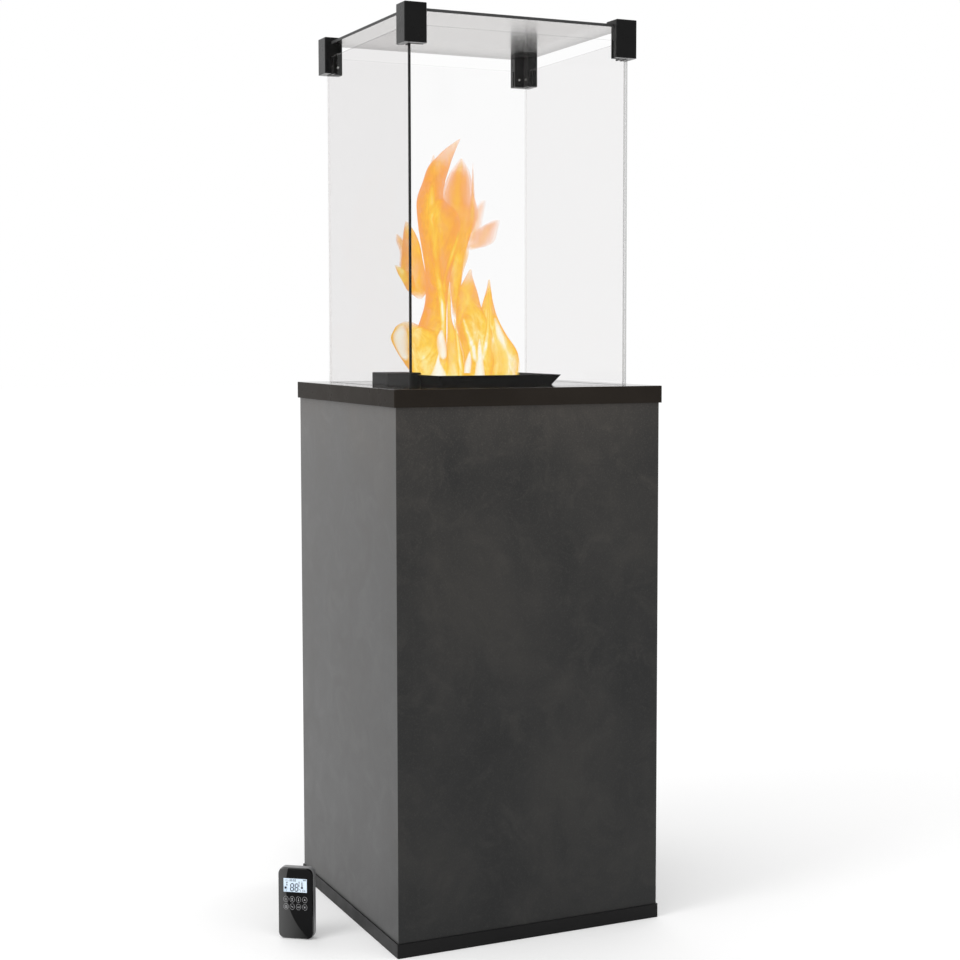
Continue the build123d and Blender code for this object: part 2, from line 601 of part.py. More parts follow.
# ---------------------------------------------------------------- receiver
RECEIVER_X = -120.0
RECEIVER_Y = -30.0
RECEIVER_WIDTH = 100.0
RECEIVER_DEPTH = 120.0
RECEIVER_HEIGHT = 28.0
RECEIVER_CORNER = 5.0
LID = 3.0
LID_ROUND = 1.0
LID_TONGUE = 3.0  # how far the lid reaches into the box
LID_PLAY = 0.4
TONGUE_WALL = 2.1
BATTERY_R = 7.25  # AA
BATTERY_LENGTH = 50.5
BATTERY_PITCH = 18.0
BATTERIES_FORWARD = 14.0  # the row's distance in front of the box's middle

with BuildPart() as receiver_box:
    with BuildSketch(Plane.XY.offset(SHELF_TOP)):
        with Locations((RECEIVER_X, RECEIVER_Y)):
            RectangleRounded(RECEIVER_WIDTH, RECEIVER_DEPTH, RECEIVER_CORNER)
    extrude(amount=RECEIVER_HEIGHT)
    with BuildSketch(Plane.XY.offset(SHELF_TOP + SHEET)):
        with Locations((RECEIVER_X, RECEIVER_Y)):
            RectangleRounded(RECEIVER_WIDTH - 2 * SHEET, RECEIVER_DEPTH - 2 * SHEET, RECEIVER_CORNER - SHEET)
    extrude(amount=RECEIVER_HEIGHT, mode=Mode.SUBTRACT)
save(receiver_box, "receiver_box")

with BuildPart() as receiver_cover:
    with BuildSketch(Plane.XY.offset(SHELF_TOP + RECEIVER_HEIGHT)):
        with Locations((RECEIVER_X, RECEIVER_Y)):
            RectangleRounded(RECEIVER_WIDTH, RECEIVER_DEPTH, RECEIVER_CORNER)
    extrude(amount=LID)
    fillet(receiver_cover.faces().sort_by(Axis.Z)[-1].edges(), LID_ROUND)
    with BuildSketch(Plane.XY.offset(SHELF_TOP + RECEIVER_HEIGHT - LID_TONGUE)):
        with Locations((RECEIVER_X, RECEIVER_Y)):
            tongue = RectangleRounded(
                RECEIVER_WIDTH - 2 * (SHEET + LID_PLAY),
                RECEIVER_DEPTH - 2 * (SHEET + LID_PLAY),
                RECEIVER_CORNER - SHEET - LID_PLAY,
            )
        offset(tongue, amount=-TONGUE_WALL, mode=Mode.SUBTRACT)
    extrude(amount=LID_TONGUE)
save(receiver_cover, "receiver_cover")

with BuildPart() as receiver_batteries:
    with BuildSketch(Plane.YZ.offset(RECEIVER_X - BATTERY_LENGTH / 2)):
        with Locations((RECEIVER_Y - BATTERIES_FORWARD, SHELF_TOP + SHEET + BATTERY_R)):
            with GridLocations(BATTERY_PITCH, 1, 4, 1):
                Circle(BATTERY_R)
    extrude(amount=BATTERY_LENGTH)
save(receiver_batteries, "receiver_batteries")

# ---------------------------------------------------------------- pipes and leads
MAIN_PIPE_R = 4.0
PILOT_PIPE_R = 2.5
LEAD_R = 1.6
MAIN_PIPE_Z = 826.0
PILOT_PIPE_Z = 905.0
MAIN_BEND = 16.0
PILOT_BEND = 14.0
LEAD_BEND = 10.0
# points where each route turns
MAIN_POINTS = [
    (VALVE_LEFT, VALVE_Y, MAIN_PIPE_Z),
    (0, VALVE_Y, MAIN_PIPE_Z),
    (0, 0, MAIN_PIPE_Z),
    (0, 0, INJECTOR_BOTTOM),
]
PILOT_POINTS = [
    (92, -75, VALVE_TOP),
    (92, -75, PILOT_PIPE_Z),
    (PILOT_X + 40, -75, PILOT_PIPE_Z),
    (PILOT_X + 40, PILOT_Y, PILOT_PIPE_Z),
    (PILOT_X, PILOT_Y, PILOT_PIPE_Z),
    (PILOT_X, PILOT_Y, PILOT_BOTTOM),
]
IGNITION_POINTS = [
    (-70, -50, 806),
    (-40, -50, 806),
    (-40, -50, 885),
    (PILOT_X, PILOT_Y - PILOT_PITCH, 885),
    (PILOT_X, PILOT_Y - PILOT_PITCH, PILOT_BOTTOM),
]
THERMOCOUPLE_POINTS = [
    (100, -42, VALVE_TOP),
    (100, -42, 894),
    (60, 60, 894),
    (PILOT_X, PILOT_Y + PILOT_PITCH, 894),
    (PILOT_X, PILOT_Y + PILOT_PITCH, PILOT_BOTTOM),
]
MOTOR_CABLE_POINTS = [
    (-70, -70, 800),
    (-20, -80, 800),
    (40, -112, 812),
    (118, -112, 856),
    (FLOW_X, -84, 856),
]

with BuildPart() as main_gas_pipe:
    with BuildLine() as main_route:
        FilletPolyline(*MAIN_POINTS, radius=MAIN_BEND)
    with BuildSketch(Plane(main_route.line @ 0, z_dir=main_route.line % 0)):
        Circle(MAIN_PIPE_R)
    sweep(path=main_route.line)
save(main_gas_pipe, "main_gas_pipe")

with BuildPart() as pilot_gas_pipe:
    with BuildLine() as pilot_route:
        FilletPolyline(*PILOT_POINTS, radius=PILOT_BEND)
    with BuildSketch(Plane(pilot_route.line @ 0, z_dir=pilot_route.line % 0)):
        Circle(PILOT_PIPE_R)
    sweep(path=pilot_route.line)
save(pilot_gas_pipe, "pilot_gas_pipe")

with BuildPart() as control_leads:
    for lead_points in (IGNITION_POINTS, THERMOCOUPLE_POINTS, MOTOR_CABLE_POINTS):
        with BuildLine(mode=Mode.PRIVATE) as lead_route:
            FilletPolyline(*lead_points, radius=LEAD_BEND)
        with BuildSketch(Plane(lead_route.line @ 0, z_dir=lead_route.line % 0)):
            Circle(LEAD_R)
        sweep(path=lead_route.line)
save(control_leads, "control_leads")

# ---------------------------------------------------------------- gas bottle
BOTTLE_Y = -10.0
BOTTLE_R = 150.0
BOTTLE_WALL = 3.0
BOTTLE_BOTTOM = 22.0
BOTTLE_SHOULDER = 500.0  # top of the shell, under the boss
BOTTLE_ROUNDING = 85.0
FOOT_RING_R = 121.0
FOOT_RING_TOP = 43.7  # ends inside the rounded bottom's wall
COLLAR_R = 95.0
COLLAR_BOTTOM = 480.0  # below the shoulder, then trimmed to its curve
COLLAR_TOP = 590.0
BOSS_R = 20.0
BOSS_TOP = 512.0
BOSS_ROOT = 1.0  # overlap of the boss with the shell
HAND_HOLE_LENGTH = 74.0
HAND_HOLE_HEIGHT = 26.0
HAND_HOLE_DOWN = 32.0  # below the collar's top
HAND_HOLE_FORWARD = 8.0


def bottle_form(shrink):
    """The bottle's rounded cylinder, made smaller all round by a wall thickness."""
    with BuildPart() as form:
        with BuildSketch(Plane((0, BOTTLE_Y, BOTTLE_BOTTOM + shrink))):
            Circle(BOTTLE_R - shrink)
        extrude(amount=BOTTLE_SHOULDER - BOTTLE_BOTTOM - 2 * shrink)
        fillet(form.edges().filter_by(GeomType.CIRCLE), BOTTLE_ROUNDING - shrink)
    return form.part


bottle_outside = bottle_form(0)
bottle_inside = bottle_form(BOTTLE_WALL)

with BuildPart() as gas_bottle:
    add(bottle_outside)
    with BuildSketch(Plane((0, BOTTLE_Y, SHEET))):
        Circle(FOOT_RING_R)
        Circle(FOOT_RING_R - BOTTLE_WALL, mode=Mode.SUBTRACT)
    extrude(amount=FOOT_RING_TOP - SHEET)
    with BuildSketch(Plane((0, BOTTLE_Y, BOTTLE_SHOULDER - BOSS_ROOT))):
        Circle(BOSS_R)
    extrude(amount=BOSS_TOP - BOTTLE_SHOULDER + BOSS_ROOT)
    add(bottle_inside, mode=Mode.SUBTRACT)
save(gas_bottle, "gas_bottle")

with BuildPart() as bottle_collar:
    with BuildSketch(Plane((0, BOTTLE_Y, COLLAR_BOTTOM))):
        Circle(COLLAR_R)
        Circle(COLLAR_R - BOTTLE_WALL, mode=Mode.SUBTRACT)
        # open towards the door, for the regulator
        with BuildLine():
            Polyline((0, 0), (BOTTLE_R, 90), (0, BOTTLE_R), (-BOTTLE_R, 90), close=True)
        make_face(mode=Mode.SUBTRACT)
    extrude(amount=COLLAR_TOP - COLLAR_BOTTOM)
    add(bottle_outside, mode=Mode.SUBTRACT)
    # hand holes left and right
    with BuildSketch(Plane.YZ):
        with Locations((BOTTLE_Y - HAND_HOLE_FORWARD, COLLAR_TOP - HAND_HOLE_DOWN)):
            SlotOverall(HAND_HOLE_LENGTH, HAND_HOLE_HEIGHT)
    extrude(amount=BOTTLE_R, both=True, mode=Mode.SUBTRACT)
save(bottle_collar, "bottle_collar")

# ---------------------------------------------------------------- bottle valve, handwheel, regulator
OUTLET_Z = 532.0
OUTLET_END = 22.0
OUTLET_R = 11.0
VALVE_STEM_TOP = 565.0
WHEEL_BOTTOM = 556.0
REGULATOR_Y = 78.0
REGULATOR_R = 30.0
SPIGOT_R = 8.0
NUT_FRONT = 14.0
NUT_BACK = 40.0
HOSE_R = 6.5
HOSE_TAIL_WALL = 1.5
HOSE_START_X = 46.0
VALVE_NECK_R = 14.0
VALVE_NECK_TOP = BOSS_TOP + 33.0
GLAND_HEX_R = 10.0
GLAND_TOP = BOSS_TOP + 41.0
WHEEL_R = 26.0
WHEEL_HEIGHT = 14.0
WHEEL_ROUND = 2.0
WHEEL_BORE_DEPTH = 10.0
SCALLOPS = 8
SCALLOP_AT = 27.5
SCALLOP_R = 5.0
NUT_R = 18.0
REGULATOR_BELOW = 16.0  # housing under the outlet's centre
REGULATOR_HEIGHT = 28.0
REGULATOR_ROUND = 3.0
REGULATOR_CAP_R = 20.0
REGULATOR_CAP_HEIGHT = 12.0
REGULATOR_CAP_TAPER = 12.0

with BuildPart() as bottle_valve:
    with BuildSketch(Plane((0, BOTTLE_Y, BOSS_TOP))):
        Circle(VALVE_NECK_R)
    extrude(amount=VALVE_NECK_TOP - BOSS_TOP)
    with BuildSketch(Plane((0, BOTTLE_Y, VALVE_NECK_TOP))):
        RegularPolygon(GLAND_HEX_R, 6)
    extrude(amount=GLAND_TOP - VALVE_NECK_TOP)
    with BuildSketch(Plane((0, BOTTLE_Y, GLAND_TOP))):
        Circle(STEM_R)
    extrude(amount=VALVE_STEM_TOP - GLAND_TOP)
    with BuildSketch(Plane((0, BOTTLE_Y, OUTLET_Z), z_dir=(0, 1, 0))):
        Circle(OUTLET_R)
    extrude(amount=OUTLET_END - BOTTLE_Y)
save(bottle_valve, "bottle_valve")

with BuildPart() as handwheel:
    with BuildSketch(Plane((0, BOTTLE_Y, WHEEL_BOTTOM))):
        Circle(WHEEL_R)
        with PolarLocations(SCALLOP_AT, SCALLOPS):
            Circle(SCALLOP_R, mode=Mode.SUBTRACT)
    extrude(amount=WHEEL_HEIGHT)
    fillet(handwheel.faces().sort_by(Axis.Z)[-1].edges(), WHEEL_ROUND)
    with BuildSketch(Plane((0, BOTTLE_Y, WHEEL_BOTTOM))):
        Circle(STEM_R + PIVOT_CLEARANCE)
    extrude(amount=WHEEL_BORE_DEPTH, mode=Mode.SUBTRACT)
save(handwheel, "handwheel")

with BuildPart() as regulator_nut:
    with BuildSketch(Plane((0, NUT_FRONT, OUTLET_Z), z_dir=(0, 1, 0))):
        RegularPolygon(NUT_R, 8)
    extrude(amount=NUT_BACK - NUT_FRONT)
    with BuildSketch(Plane((0, NUT_FRONT, OUTLET_Z), z_dir=(0, 1, 0))):
        Circle(OUTLET_R)
    extrude(amount=OUTLET_END - NUT_FRONT, mode=Mode.SUBTRACT)
    with BuildSketch(Plane((0, OUTLET_END, OUTLET_Z), z_dir=(0, 1, 0))):
        Circle(SPIGOT_R)
    extrude(amount=NUT_BACK - OUTLET_END, mode=Mode.SUBTRACT)
save(regulator_nut, "regulator_nut")

with BuildPart() as regulator:
    with BuildSketch(Plane((0, REGULATOR_Y, OUTLET_Z - REGULATOR_BELOW))):
        Circle(REGULATOR_R)
    extrude(amount=REGULATOR_HEIGHT)
    fillet(regulator.edges().filter_by(GeomType.CIRCLE), REGULATOR_ROUND)
    with BuildSketch(Plane((0, REGULATOR_Y, OUTLET_Z - REGULATOR_BELOW + REGULATOR_HEIGHT))):
        Circle(REGULATOR_CAP_R)
    extrude(amount=REGULATOR_CAP_HEIGHT, taper=REGULATOR_CAP_TAPER)
    with BuildSketch(Plane((0, OUTLET_END, OUTLET_Z), z_dir=(0, 1, 0))):
        Circle(SPIGOT_R)
    extrude(amount=REGULATOR_Y - OUTLET_END)
    with BuildSketch(Plane((0, REGULATOR_Y, OUTLET_Z), z_dir=(1, 0, 0))):
        Circle(HOSE_R + HOSE_TAIL_WALL)
    extrude(amount=HOSE_START_X)
save(regulator, "regulator")

ARC_SHARE = 0.45  # of the shorter run, taken by the arc at its end
hose_points = [
    (HOSE_START_X, REGULATOR_Y, OUTLET_Z),
    (110, REGULATOR_Y, OUTLET_Z),
    (158, 62, 580),
    (166, 16, 640),
    (136, -34, 690),
    (VALVE_X, VALVE_Y, 724),
    (VALVE_X, VALVE_Y, SPIGOT_BOTTOM),
]


def corner_radii(points, share):
    """The arc at each inner point, as large as its two runs allow, times a share."""
    radii = []
    for before, corner_point, after in zip(points, points[1:], points[2:]):
        run_in = Vector(*corner_point) - Vector(*before)
        run_out = Vector(*after) - Vector(*corner_point)
        half_turn = math.radians(run_in.get_angle(run_out)) / 2
        radii.append(share * min(run_in.length, run_out.length) / math.tan(half_turn))
    return radii


with BuildPart() as gas_hose:
    with BuildLine() as hose_route:
        FilletPolyline(*hose_points, radius=corner_radii(hose_points, ARC_SHARE))
    with BuildSketch(Plane(hose_route.line @ 0, z_dir=hose_route.line % 0)):
        Circle(HOSE_R)
    sweep(path=hose_route.line)
hose_length = hose_route.wire().length
hose_ratio = gas_hose.part.volume / (math.pi * HOSE_R**2 * hose_length)
print("hose length", round(hose_length), "volume / section x length", round(hose_ratio, 4))
save(gas_hose, "gas_hose")

# ---------------------------------------------------------------- rear door, hinges and lock
DOOR_GAP = 3.0  # at the posts and the base
DOOR_TOP_GAP = 2.0
DOOR_DEPTH = 18.0
DOOR_HALF = POST_INNER - DOOR_GAP
DOOR_INNER_Y = REAR_POST_BACK - DOOR_DEPTH
DOOR_BOTTOM = BASE_HEIGHT + DOOR_GAP
DOOR_TOP = PLATE_TOP - PLATE_RIM - DOOR_TOP_GAP
VENTS_AT = 70.0  # from the door's ends to the middle of its vents
VENT_PITCH_X = 70.0
VENT_PITCH_Z = 16.0
VENT_LENGTH = 54.0
VENT_WIDTH = 6.0
DOOR_MIDDLE = (DOOR_BOTTOM + DOOR_TOP) / 2
DOOR_HEIGHT = DOOR_TOP - DOOR_BOTTOM
HINGE_X = -(POST_INNER + DOOR_HALF) / 2
HINGE_R = 4.5
HINGE_Y = REAR_POST_BACK + HINGE_R
HINGE_PIN_R = 3.0
HINGE_LENGTH = 60.0
KNUCKLE = HINGE_LENGTH / 3
KNUCKLE_GAP = 0.4
HINGE_BOTTOMS = (130.0, 446.0, 762.0)
LEAF_EDGE = 5.0  # from the hinge axis to a leaf's full-height plate
LEAF_WIDTH = 17.0
LOCK_X = 190.0
LOCK_Z = 480.0
LOCK_R = 9.0
LOCK_HEAD_R = 12.0
LOCK_HEAD_GAP = 0.3  # between the head and the door
LOCK_HEAD = 3.0
LOCK_HEAD_CHAMFER = 0.8
KEY_SLOT_WIDTH = 1.6
KEY_SLOT_LENGTH = 9.0
KEY_SLOT_DEPTH = 2.0
CAM = 2.5
CAM_WIDTH = 12.0
CAM_LENGTH = 38.0
CAM_FRONT = REAR_POST_FRONT - 5.5


def leaf_plate(centre_x, bottom, width, height):
    """One rectangle of a hinge leaf, flat on the back of the post or the door."""
    with BuildSketch(Plane.XZ.offset(-REAR_POST_BACK)) as plate:
        with Locations((centre_x, bottom + height / 2)):
            Rectangle(width, height)
    extrude(plate.sketch, amount=-SHEET)


def barrel(bottom, height, radius, mode=Mode.ADD):
    """A length of the hinge's barrel, pin or bore."""
    with BuildSketch(Plane.XY.offset(bottom)) as disc:
        with Locations((HINGE_X, HINGE_Y)):
            Circle(radius)
    extrude(disc.sketch, amount=height, mode=mode)


with BuildPart() as rear_door:
    with BuildSketch(Plane.XZ.offset(-REAR_POST_BACK)):
        with Locations((0, DOOR_MIDDLE)):
            Rectangle(2 * DOOR_HALF, DOOR_HEIGHT)
    extrude(amount=REAR_POST_BACK - DOOR_INNER_Y)
    with BuildSketch(Plane.XZ.offset(-DOOR_INNER_Y)):
        with Locations((0, DOOR_MIDDLE)):
            Rectangle(2 * (DOOR_HALF - SHEET), DOOR_HEIGHT - 2 * SHEET)
    extrude(amount=-(REAR_POST_BACK - DOOR_INNER_Y - SHEET), mode=Mode.SUBTRACT)
    # vents low and high, and the lock's hole
    with BuildSketch(Plane.XZ.offset(-REAR_POST_BACK)):
        with Locations((0, DOOR_BOTTOM + VENTS_AT), (0, DOOR_TOP - VENTS_AT)):
            with GridLocations(VENT_PITCH_X, VENT_PITCH_Z, 4, 4):
                SlotOverall(VENT_LENGTH, VENT_WIDTH)
        with Locations((LOCK_X, LOCK_Z)):
            Circle(LOCK_R + PIVOT_CLEARANCE)
    extrude(amount=SHEET, mode=Mode.SUBTRACT)
    for hinge_bottom in HINGE_BOTTOMS:
        leaf_plate(HINGE_X + LEAF_EDGE + LEAF_WIDTH / 2, hinge_bottom, LEAF_WIDTH, HINGE_LENGTH)
        middle_bottom = hinge_bottom + KNUCKLE + KNUCKLE_GAP
        middle_height = KNUCKLE - 2 * KNUCKLE_GAP
        leaf_plate(HINGE_X + LEAF_EDGE / 2, middle_bottom, LEAF_EDGE, middle_height)
        barrel(middle_bottom, middle_height, HINGE_R)
        barrel(hinge_bottom, HINGE_LENGTH, HINGE_PIN_R + PIVOT_CLEARANCE, Mode.SUBTRACT)
save(rear_door, "rear_door")

with BuildPart() as hinge_leaves:
    for hinge_bottom in HINGE_BOTTOMS:
        leaf_plate(HINGE_X - LEAF_EDGE - LEAF_WIDTH / 2, hinge_bottom, LEAF_WIDTH, HINGE_LENGTH)
        for knuckle_bottom in (hinge_bottom, hinge_bottom + 2 * KNUCKLE):
            leaf_plate(HINGE_X - LEAF_EDGE / 2, knuckle_bottom, LEAF_EDGE, KNUCKLE)
            barrel(knuckle_bottom, KNUCKLE, HINGE_R)
        barrel(hinge_bottom, HINGE_LENGTH, HINGE_PIN_R)
save(hinge_leaves, "hinge_leaves")

with BuildPart() as door_lock:
    with BuildSketch(Plane.XZ.offset(-CAM_FRONT)):
        with Locations((LOCK_X, LOCK_Z)):
            Circle(LOCK_R)
    extrude(amount=-(REAR_POST_BACK + LOCK_HEAD_GAP - CAM_FRONT))
    with BuildSketch(Plane.XZ.offset(-(REAR_POST_BACK + LOCK_HEAD_GAP))):
        with Locations((LOCK_X, LOCK_Z)):
            Circle(LOCK_HEAD_R)
    extrude(amount=-LOCK_HEAD)
    chamfer(door_lock.edges().filter_by(GeomType.CIRCLE).sort_by(Axis.Y)[-1], LOCK_HEAD_CHAMFER)
    with BuildSketch(Plane.XZ.offset(-(REAR_POST_BACK + LOCK_HEAD_GAP + LOCK_HEAD))):
        with Locations((LOCK_X, LOCK_Z)):
            Rectangle(KEY_SLOT_WIDTH, KEY_SLOT_LENGTH)
    extrude(amount=KEY_SLOT_DEPTH, mode=Mode.SUBTRACT)
    # the cam hangs down when unlocked and reaches behind the post when turned
    with BuildSketch(Plane.XZ.offset(-CAM_FRONT)):
        with Locations((LOCK_X, LOCK_Z - CAM_LENGTH / 2)):
            SlotOverall(CAM_LENGTH + CAM_WIDTH, CAM_WIDTH, rotation=90)
    extrude(amount=-CAM)
save(door_lock, "door_lock")

# ---------------------------------------------------------------- remote control, standing beside the cabinet
REMOTE_AT = (-370.0, -75.0)
REMOTE_TURN = 36.0  # the front faces left of the cabinet's front
REMOTE_WIDTH = 63.0
REMOTE_HEIGHT = 125.0
REMOTE_DEPTH = 20.0
REMOTE_CORNER = 11.0
FRONT_DEPTH = 5.5
REMOTE_WALL = 2.0
DISPLAY_WIDTH = 42.0
DISPLAY_HEIGHT = 24.0
DISPLAY_CENTRE = 95.0  # above the remote's foot
DISPLAY_DEPTH = 0.8
BAY_WIDTH = 40.0
BAY_HEIGHT = 54.0
BAY_CENTRE = 48.0
BAY_CORNER = 2.0
COVER_PLAY = 0.3
BOARD = 1.6
BOARD_SIDE_GAP = 5.0
BOARD_END_GAP = 7.0
BOARD_CORNER = 6.0
RIB_LENGTH = 30.0
RIB_AT = 12.0  # from the remote's ends
AAA_R = 5.25
AAA_LENGTH = 44.5
AAA_GAP = 1.5
AAA_CLEARANCE = 0.2
FRONT_INSET = 0.8  # the front stands in from the rear shell all round
FRONT_ROUND = 1.6
FRONT_SKIN = 3.0
FRONT_RECESS_EDGE = 4.0
REAR_ROUND = 3.0
GRIP_LINES = 4
GRIP_LINE_PITCH = 3.0
GRIP_LINE_LENGTH = 16.0
GRIP_LINE_WIDTH = 1.2
GRIP_LINE_DEPTH = 0.6
GRIP_LINES_UP = 16.0

turn = math.radians(REMOTE_TURN)
remote_plane = Plane(
    origin=(*REMOTE_AT, 0),
    x_dir=(math.cos(turn), -math.sin(turn), 0),
    z_dir=(-math.sin(turn), -math.cos(turn), 0),
)
HALF_DEPTH = REMOTE_DEPTH / 2
FRONT_BACK = HALF_DEPTH - FRONT_DEPTH
BOARD_BACK = FRONT_BACK - BOARD
FACING = Axis(remote_plane.origin, remote_plane.z_dir)

with BuildPart() as remote_front:
    with BuildSketch(remote_plane.offset(FRONT_BACK)):
        with Locations((0, REMOTE_HEIGHT / 2)):
            RectangleRounded(
                REMOTE_WIDTH - 2 * FRONT_INSET, REMOTE_HEIGHT - 2 * FRONT_INSET, REMOTE_CORNER - FRONT_INSET
            )
    extrude(amount=FRONT_DEPTH)
    fillet(remote_front.faces().sort_by(FACING)[-1].edges(), FRONT_ROUND)
    with BuildSketch(remote_plane.offset(HALF_DEPTH - DISPLAY_DEPTH)):
        with Locations((0, DISPLAY_CENTRE)):
            Rectangle(DISPLAY_WIDTH, DISPLAY_HEIGHT)
    extrude(amount=DISPLAY_DEPTH, mode=Mode.SUBTRACT)
    with BuildSketch(remote_plane.offset(FRONT_BACK)):
        with Locations((0, REMOTE_HEIGHT / 2)):
            RectangleRounded(
                REMOTE_WIDTH - 2 * FRONT_RECESS_EDGE,
                REMOTE_HEIGHT - 2 * FRONT_RECESS_EDGE,
                REMOTE_CORNER - FRONT_RECESS_EDGE,
            )
    extrude(amount=FRONT_DEPTH - FRONT_SKIN, mode=Mode.SUBTRACT)
save(remote_front, "remote_front")

with BuildPart() as remote_display:
    with BuildSketch(remote_plane.offset(HALF_DEPTH - DISPLAY_DEPTH)):
        with Locations((0, DISPLAY_CENTRE)):
            Rectangle(DISPLAY_WIDTH, DISPLAY_HEIGHT)
    extrude(amount=DISPLAY_DEPTH)
save(remote_display, "remote_display")

with BuildPart() as remote_rear:
    with BuildSketch(remote_plane.offset(-HALF_DEPTH)):
        with Locations((0, REMOTE_HEIGHT / 2)):
            RectangleRounded(REMOTE_WIDTH, REMOTE_HEIGHT, REMOTE_CORNER)
    extrude(amount=REMOTE_DEPTH - FRONT_DEPTH)
    fillet(remote_rear.faces().sort_by(FACING)[0].edges(), REAR_ROUND)
    with BuildSketch(remote_plane.offset(-HALF_DEPTH + REMOTE_WALL)):
        with Locations((0, REMOTE_HEIGHT / 2)):
            RectangleRounded(
                REMOTE_WIDTH - 2 * REMOTE_WALL, REMOTE_HEIGHT - 2 * REMOTE_WALL, REMOTE_CORNER - REMOTE_WALL
            )
    extrude(amount=REMOTE_DEPTH, mode=Mode.SUBTRACT)
    with BuildSketch(remote_plane.offset(-HALF_DEPTH)):
        with Locations((0, BAY_CENTRE)):
            RectangleRounded(BAY_WIDTH + 2 * COVER_PLAY, BAY_HEIGHT + 2 * COVER_PLAY, BAY_CORNER + COVER_PLAY)
    extrude(amount=REMOTE_WALL, mode=Mode.SUBTRACT)
    # ribs that carry the circuit board
    with BuildSketch(remote_plane.offset(-HALF_DEPTH + REMOTE_WALL)):
        with Locations((0, RIB_AT), (0, REMOTE_HEIGHT - RIB_AT)):
            Rectangle(RIB_LENGTH, REMOTE_WALL)
    extrude(amount=BOARD_BACK + HALF_DEPTH - REMOTE_WALL)
save(remote_rear, "remote_rear")

with BuildPart() as remote_circuit_board:
    with BuildSketch(remote_plane.offset(BOARD_BACK)):
        with Locations((0, REMOTE_HEIGHT / 2)):
            RectangleRounded(
                REMOTE_WIDTH - 2 * BOARD_SIDE_GAP, REMOTE_HEIGHT - 2 * BOARD_END_GAP, BOARD_CORNER
            )
    extrude(amount=BOARD)
save(remote_circuit_board, "remote_circuit_board")

CELL_DEPTH = -HALF_DEPTH + REMOTE_WALL + AAA_R + AAA_CLEARANCE
cell_plane = Plane(
    remote_plane.from_local_coords((0, BAY_CENTRE - AAA_LENGTH / 2, CELL_DEPTH)),
    x_dir=remote_plane.x_dir,
    z_dir=(0, 0, 1),
)
with BuildPart() as remote_batteries:
    with BuildSketch(cell_plane):
        with GridLocations(2 * AAA_R + AAA_GAP, 1, 3, 1):
            Circle(AAA_R)
    extrude(amount=AAA_LENGTH)
save(remote_batteries, "remote_batteries")

with BuildPart() as remote_battery_cover:
    with BuildSketch(remote_plane.offset(-HALF_DEPTH)):
        with Locations((0, BAY_CENTRE)):
            RectangleRounded(BAY_WIDTH, BAY_HEIGHT, BAY_CORNER)
    extrude(amount=REMOTE_WALL - AAA_CLEARANCE)
    with BuildSketch(remote_plane.offset(-HALF_DEPTH)):
        with Locations((0, BAY_CENTRE + GRIP_LINES_UP)):
            with GridLocations(1, GRIP_LINE_PITCH, 1, GRIP_LINES):
                SlotOverall(GRIP_LINE_LENGTH, GRIP_LINE_WIDTH)
    extrude(amount=GRIP_LINE_DEPTH, mode=Mode.SUBTRACT)
save(remote_battery_cover, "remote_battery_cover")
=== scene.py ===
import bpy
import json
import math
from mathutils import Matrix, Vector


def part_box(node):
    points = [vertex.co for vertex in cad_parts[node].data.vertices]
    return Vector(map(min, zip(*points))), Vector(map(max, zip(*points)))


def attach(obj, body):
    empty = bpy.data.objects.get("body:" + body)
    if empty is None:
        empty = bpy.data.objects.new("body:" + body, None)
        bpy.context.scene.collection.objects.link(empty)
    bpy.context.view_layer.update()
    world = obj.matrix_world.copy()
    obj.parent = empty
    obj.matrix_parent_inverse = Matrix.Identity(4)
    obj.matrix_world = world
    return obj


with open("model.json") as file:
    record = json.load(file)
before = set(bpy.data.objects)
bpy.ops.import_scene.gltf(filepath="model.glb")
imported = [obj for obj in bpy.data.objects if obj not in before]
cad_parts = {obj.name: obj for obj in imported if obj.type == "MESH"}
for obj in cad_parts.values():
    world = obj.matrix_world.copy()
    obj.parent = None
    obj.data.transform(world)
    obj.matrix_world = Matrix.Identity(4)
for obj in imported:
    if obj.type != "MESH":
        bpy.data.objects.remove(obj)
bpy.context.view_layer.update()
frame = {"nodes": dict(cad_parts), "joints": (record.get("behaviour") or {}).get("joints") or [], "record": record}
NODES = frame["nodes"]
JOINTS = {joint["name"]: joint for joint in frame["joints"]}
MM = 0.001
UP = Vector((0, 0, 1))
QUARTERS = ((-1, -1), (1, -1), (1, 1), (-1, 1))  # anticlockwise

# ---- camera and light
CAMERA_AT = Vector((-1.3045, -2.9428, 1.0541))
CAMERA_YAW = math.radians(25.36)  # turned from +Y towards +X
CAMERA_PITCH = math.radians(-4.25)
CAMERA_LENS = 65.83
CAMERA_SENSOR = 36
CAMERA_SHIFT = (-0.0391, -0.0194)
CAMERA_FAR = 100
WHITE = (1, 1, 1, 1)
CLEAR_BOUNCES = 96  # a ray has to pass every pane and every shell of the flame
KEY_LIGHT_AT = (-2.6, -0.6, 2.6)
KEY_LIGHT_AIM = (0, 0, 0.9)
KEY_LIGHT_SIZE = 1.6
KEY_LIGHT_POWER = 30
FLOOR_REACH = 30
FLOOR_DROP = 0.4 * MM
FLOOR_PAINT = (0.9, 0.9, 0.9, 1)
FLOOR_GLOW = 0.12


def make_camera():
    data = bpy.data.cameras.new("camera")
    data.lens = CAMERA_LENS
    data.sensor_width = CAMERA_SENSOR
    data.shift_x, data.shift_y = CAMERA_SHIFT
    data.clip_end = CAMERA_FAR
    camera = bpy.data.objects.new("camera", data)
    camera.location = CAMERA_AT
    camera.rotation_euler = (math.pi / 2 + CAMERA_PITCH, 0, -CAMERA_YAW)
    bpy.context.scene.collection.objects.link(camera)
    bpy.context.scene.camera = camera


